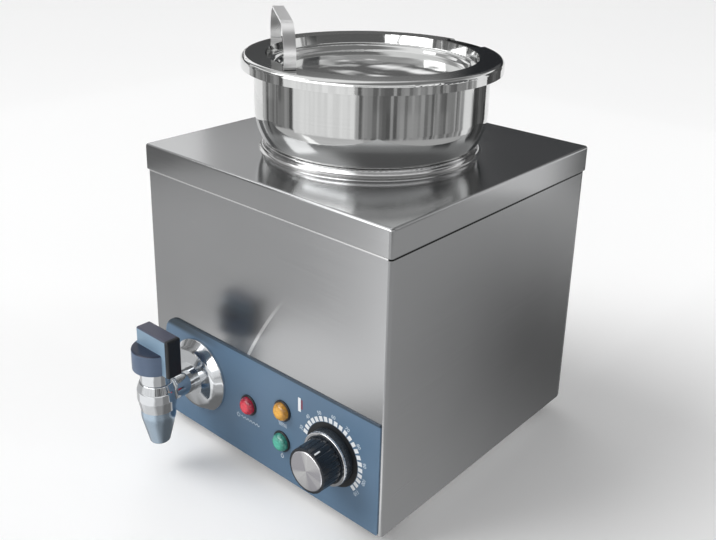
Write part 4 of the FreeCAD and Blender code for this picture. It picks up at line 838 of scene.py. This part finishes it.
def lamp_cap(node, core, rim, glow):
    """A clear cap over a lit lamp: brighter in its middle, ribbed inside, glossy outside."""
    material, graph = new_finish(node.replace("lamp_lens", "cap"))
    low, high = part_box(node)
    place = graph.place()
    parts = graph.out_from((low + high) / 2, place)
    radius = (parts["X"] * parts["X"] + parts["Z"] * parts["Z"]) ** 0.5
    patch = graph.noise(place, 420.0, 2.0)
    cells = {"Vector": place, "Scale": 430.0}
    ribs = graph.add("ShaderNodeTexVoronoi", {"distance": "CHEBYCHEV"}, cells)["Distance"]
    core_reach = 0.0022
    rim_reach = 0.0074
    share = graph.window(radius, core_reach, rim_reach) * 0.6 + ribs * 0.55 + (patch - 0.5) * 0.5
    tint = graph.blend(share, core, rim)
    normal = graph.bump(ribs * 0.00035)
    shade(graph, Base_Color=tint, Roughness=0.14 + patch * 0.1, Normal=normal)
    shade(graph, Coat_Weight=0.8, Coat_Roughness=0.04, Emission_Color=tint, Emission_Strength=glow)
    dress(node, material)


lamp_cap("red_lamp_lens", (0.68, 0.012, 0.040), (0.13, 0.006, 0.020), 0.40)
lamp_cap("orange_lamp_lens", (0.72, 0.36, 0.030), (0.26, 0.12, 0.018), 0.30)
lamp_cap("green_lamp_lens", (0.090, 0.46, 0.34), (0.016, 0.115, 0.095), 0.25)


# ---------------------------------------------------------------------------------------------
# The thermostat's knob: a fluted black moulding on a wider skirt with a bright ring, its face
# an aluminium disc turned on a lathe, with wedges of sheen painted by place. A white line on the
# grip points to the scale.

dress("knob_skirt", moulded("skirt_plastic", (0.020, 0.026, 0.034), 0.28))
dress("thermostat_knob", moulded("knob_plastic", (0.012, 0.016, 0.022), 0.17))
dress("knob_trim_ring", turned_metal("bright_trim", (0.80, 0.81, 0.83), 0.10, 0.000001))

cap_material, cap_graph = new_finish("spun_face")
cap_parts = cap_graph.out_from(dial_middle, cap_graph.place())
cap_radius = (cap_parts["X"] * cap_parts["X"] + cap_parts["Z"] * cap_parts["Z"]) ** 0.5
cap_rings = cap_graph.rings(cap_radius * 5200.0, 2.0)
cap_turn = cap_parts["X"].bearing_from(cap_parts["Z"])
two_wedges = (cap_turn * 2.0 - 0.9).wave("COSINE")
three_wedges = (cap_turn * 3.0 + 0.4).wave("COSINE")
cap_gleam = cap_graph.window(two_wedges, -0.2, 0.95) * 0.75
cap_gleam = cap_gleam + cap_graph.window(three_wedges, 0.5, 1.0) * 0.35
cap_tint = cap_graph.blend(cap_gleam + cap_rings * 0.2, (0.62, 0.61, 0.65), (1.0, 1.0, 1.0))
cap_bump = cap_graph.bump(cap_rings * 0.00001)
cap_rough = 0.14 + cap_rings * 0.10
shade(cap_graph, Base_Color=cap_tint, Metallic=1.0, Roughness=cap_rough, Normal=cap_bump)
dress("knob_cap", cap_material)


def radial_bar(name, middle, bearing, inner, outer, front, rear, wide, material):
    """A straight bar out from the knob's axis, between two depths before the panel."""
    mesh = bpy.data.meshes.new(name)
    shape = bmesh.new()
    bmesh.ops.create_cube(shape, size=1.0)
    size = Vector((wide, front - rear, outer - inner))
    stand = Matrix.Translation((0.0, -(front + rear) / 2, (outer + inner) / 2))
    lean = Matrix.Translation(middle) @ Matrix.Rotation(bearing, 4, "Y")
    shape.transform(lean @ stand @ Matrix.Diagonal((*size, 1.0)))
    shape.to_mesh(mesh)
    shape.free()
    return build(name, mesh, material)


grip_front = panel_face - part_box("thermostat_knob")[0].y
index_paint = ink("index_paint", (0.78, 0.80, 0.82))
index_bearing = math.radians(22.0)
line_inner = 0.0172
line_outer = 0.01785
line_front = grip_front - 0.0012
line_rear = grip_front - 0.0065
line_wide = 0.0012
index_line = radial_bar(
    "index_line", dial_middle, index_bearing, line_inner, line_outer,
    line_front, line_rear, line_wide, index_paint,
)
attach(index_line, "knob")


# ---------------------------------------------------------------------------------------------
# The drain tap: cast brass, turned, polished and chromed, with a rose against the panel, a
# bonnet over the stem and a moulded lever handle.

def chrome(name, tone, gloss):
    """Plated brass: bright, with the faint ripple of a hand-polished casting."""
    material, graph = new_finish(name)
    place = graph.place()
    ripple = graph.noise(place, 70.0, 1.0)
    haze = graph.noise(place, 240.0, 2.0)
    colour = graph.blend(haze, tuple(part * 0.92 for part in tone), tone)
    normal = graph.bump(ripple * 0.00005)
    shade(graph, Base_Color=colour, Metallic=1.0, Roughness=gloss + haze * 0.03, Normal=normal)
    return material


dress("tap_body tap_bonnet", chrome("tap_chrome", (0.72, 0.74, 0.76), 0.03))
dress("tap_escutcheon", chrome("rose_chrome", (0.74, 0.76, 0.78), 0.10))
dress("tap_spout", chrome("spout_finish", (0.44, 0.54, 0.64), 0.20))
dress("tap_stem tap_lock_nut", turned_metal("tap_brass", (0.62, 0.45, 0.20), 0.24))
dress("tap_seal", moulded("seal_rubber", (0.02, 0.02, 0.02), 0.6))

# The lever is blue plastic. Painted by place: a painted highlight on its sides, and painted shade
# on its top, its hub's top and its end.
lever_low, lever_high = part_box("tap_handle")
lever_material, lever_graph = new_finish("handle_plastic")
lever_place = lever_graph.place()
lever_parts = lever_graph.split(lever_place)
lever_grain = lever_graph.noise(lever_place, 1400.0, 3.0)
lever_patch = lever_graph.noise(lever_place, 90.0, 2.0)
lever_tint = lever_graph.blend(lever_patch, (0.070, 0.105, 0.175), (0.105, 0.155, 0.245))
hub_tall = 0.0175
hub_top = lever_low.z + hub_tall
from_axis = (lever_parts["Y"] - (lever_low.y + lever_high.y) / 2.0) * 1000.0
beside = from_axis * from_axis
# The flat sides stand 6.5 to 6.75 mm beside the middle, and the hub is wider.
# Painted highlight on the lever's flat sides.
painted_side_light = lever_graph.window(beside, 6.35 ** 2, 6.5 ** 2)
painted_side_light = painted_side_light * (1.0 - lever_graph.window(beside, 6.75 ** 2, 6.95 ** 2))
# Painted shade on the hub's top.
painted_hub_shade = lever_graph.window(lever_parts["Z"], hub_top - 0.0012, hub_top - 0.0006)
painted_hub_shade = painted_hub_shade * lever_graph.window(beside, 6.7 ** 2, 6.8 ** 2)
lever_tint = lever_graph.blend(painted_hub_shade, lever_tint, (0.016, 0.022, 0.045))
lever_tint = lever_graph.blend(painted_side_light, lever_tint, (0.23, 0.34, 0.45))
# Painted shade along the lever's top.
painted_top_shade = lever_graph.window(lever_parts["Z"], lever_high.z - 0.0016, lever_high.z - 0.0009)
lever_tint = lever_graph.blend(painted_top_shade * 0.9, lever_tint, (0.055, 0.055, 0.080))
# Painted shade on the lever's end.
painted_end_shade = lever_graph.window(lever_parts["X"], lever_high.x - 0.0034, lever_high.x - 0.0030)
lever_tint = lever_graph.blend(painted_end_shade, lever_tint, (0.006, 0.007, 0.010))
lever_bump = lever_graph.bump(lever_grain * 0.00001)
shade(lever_graph, Base_Color=lever_tint, Roughness=0.26 + lever_patch * 0.12, Normal=lever_bump)
dress("tap_handle", lever_material)
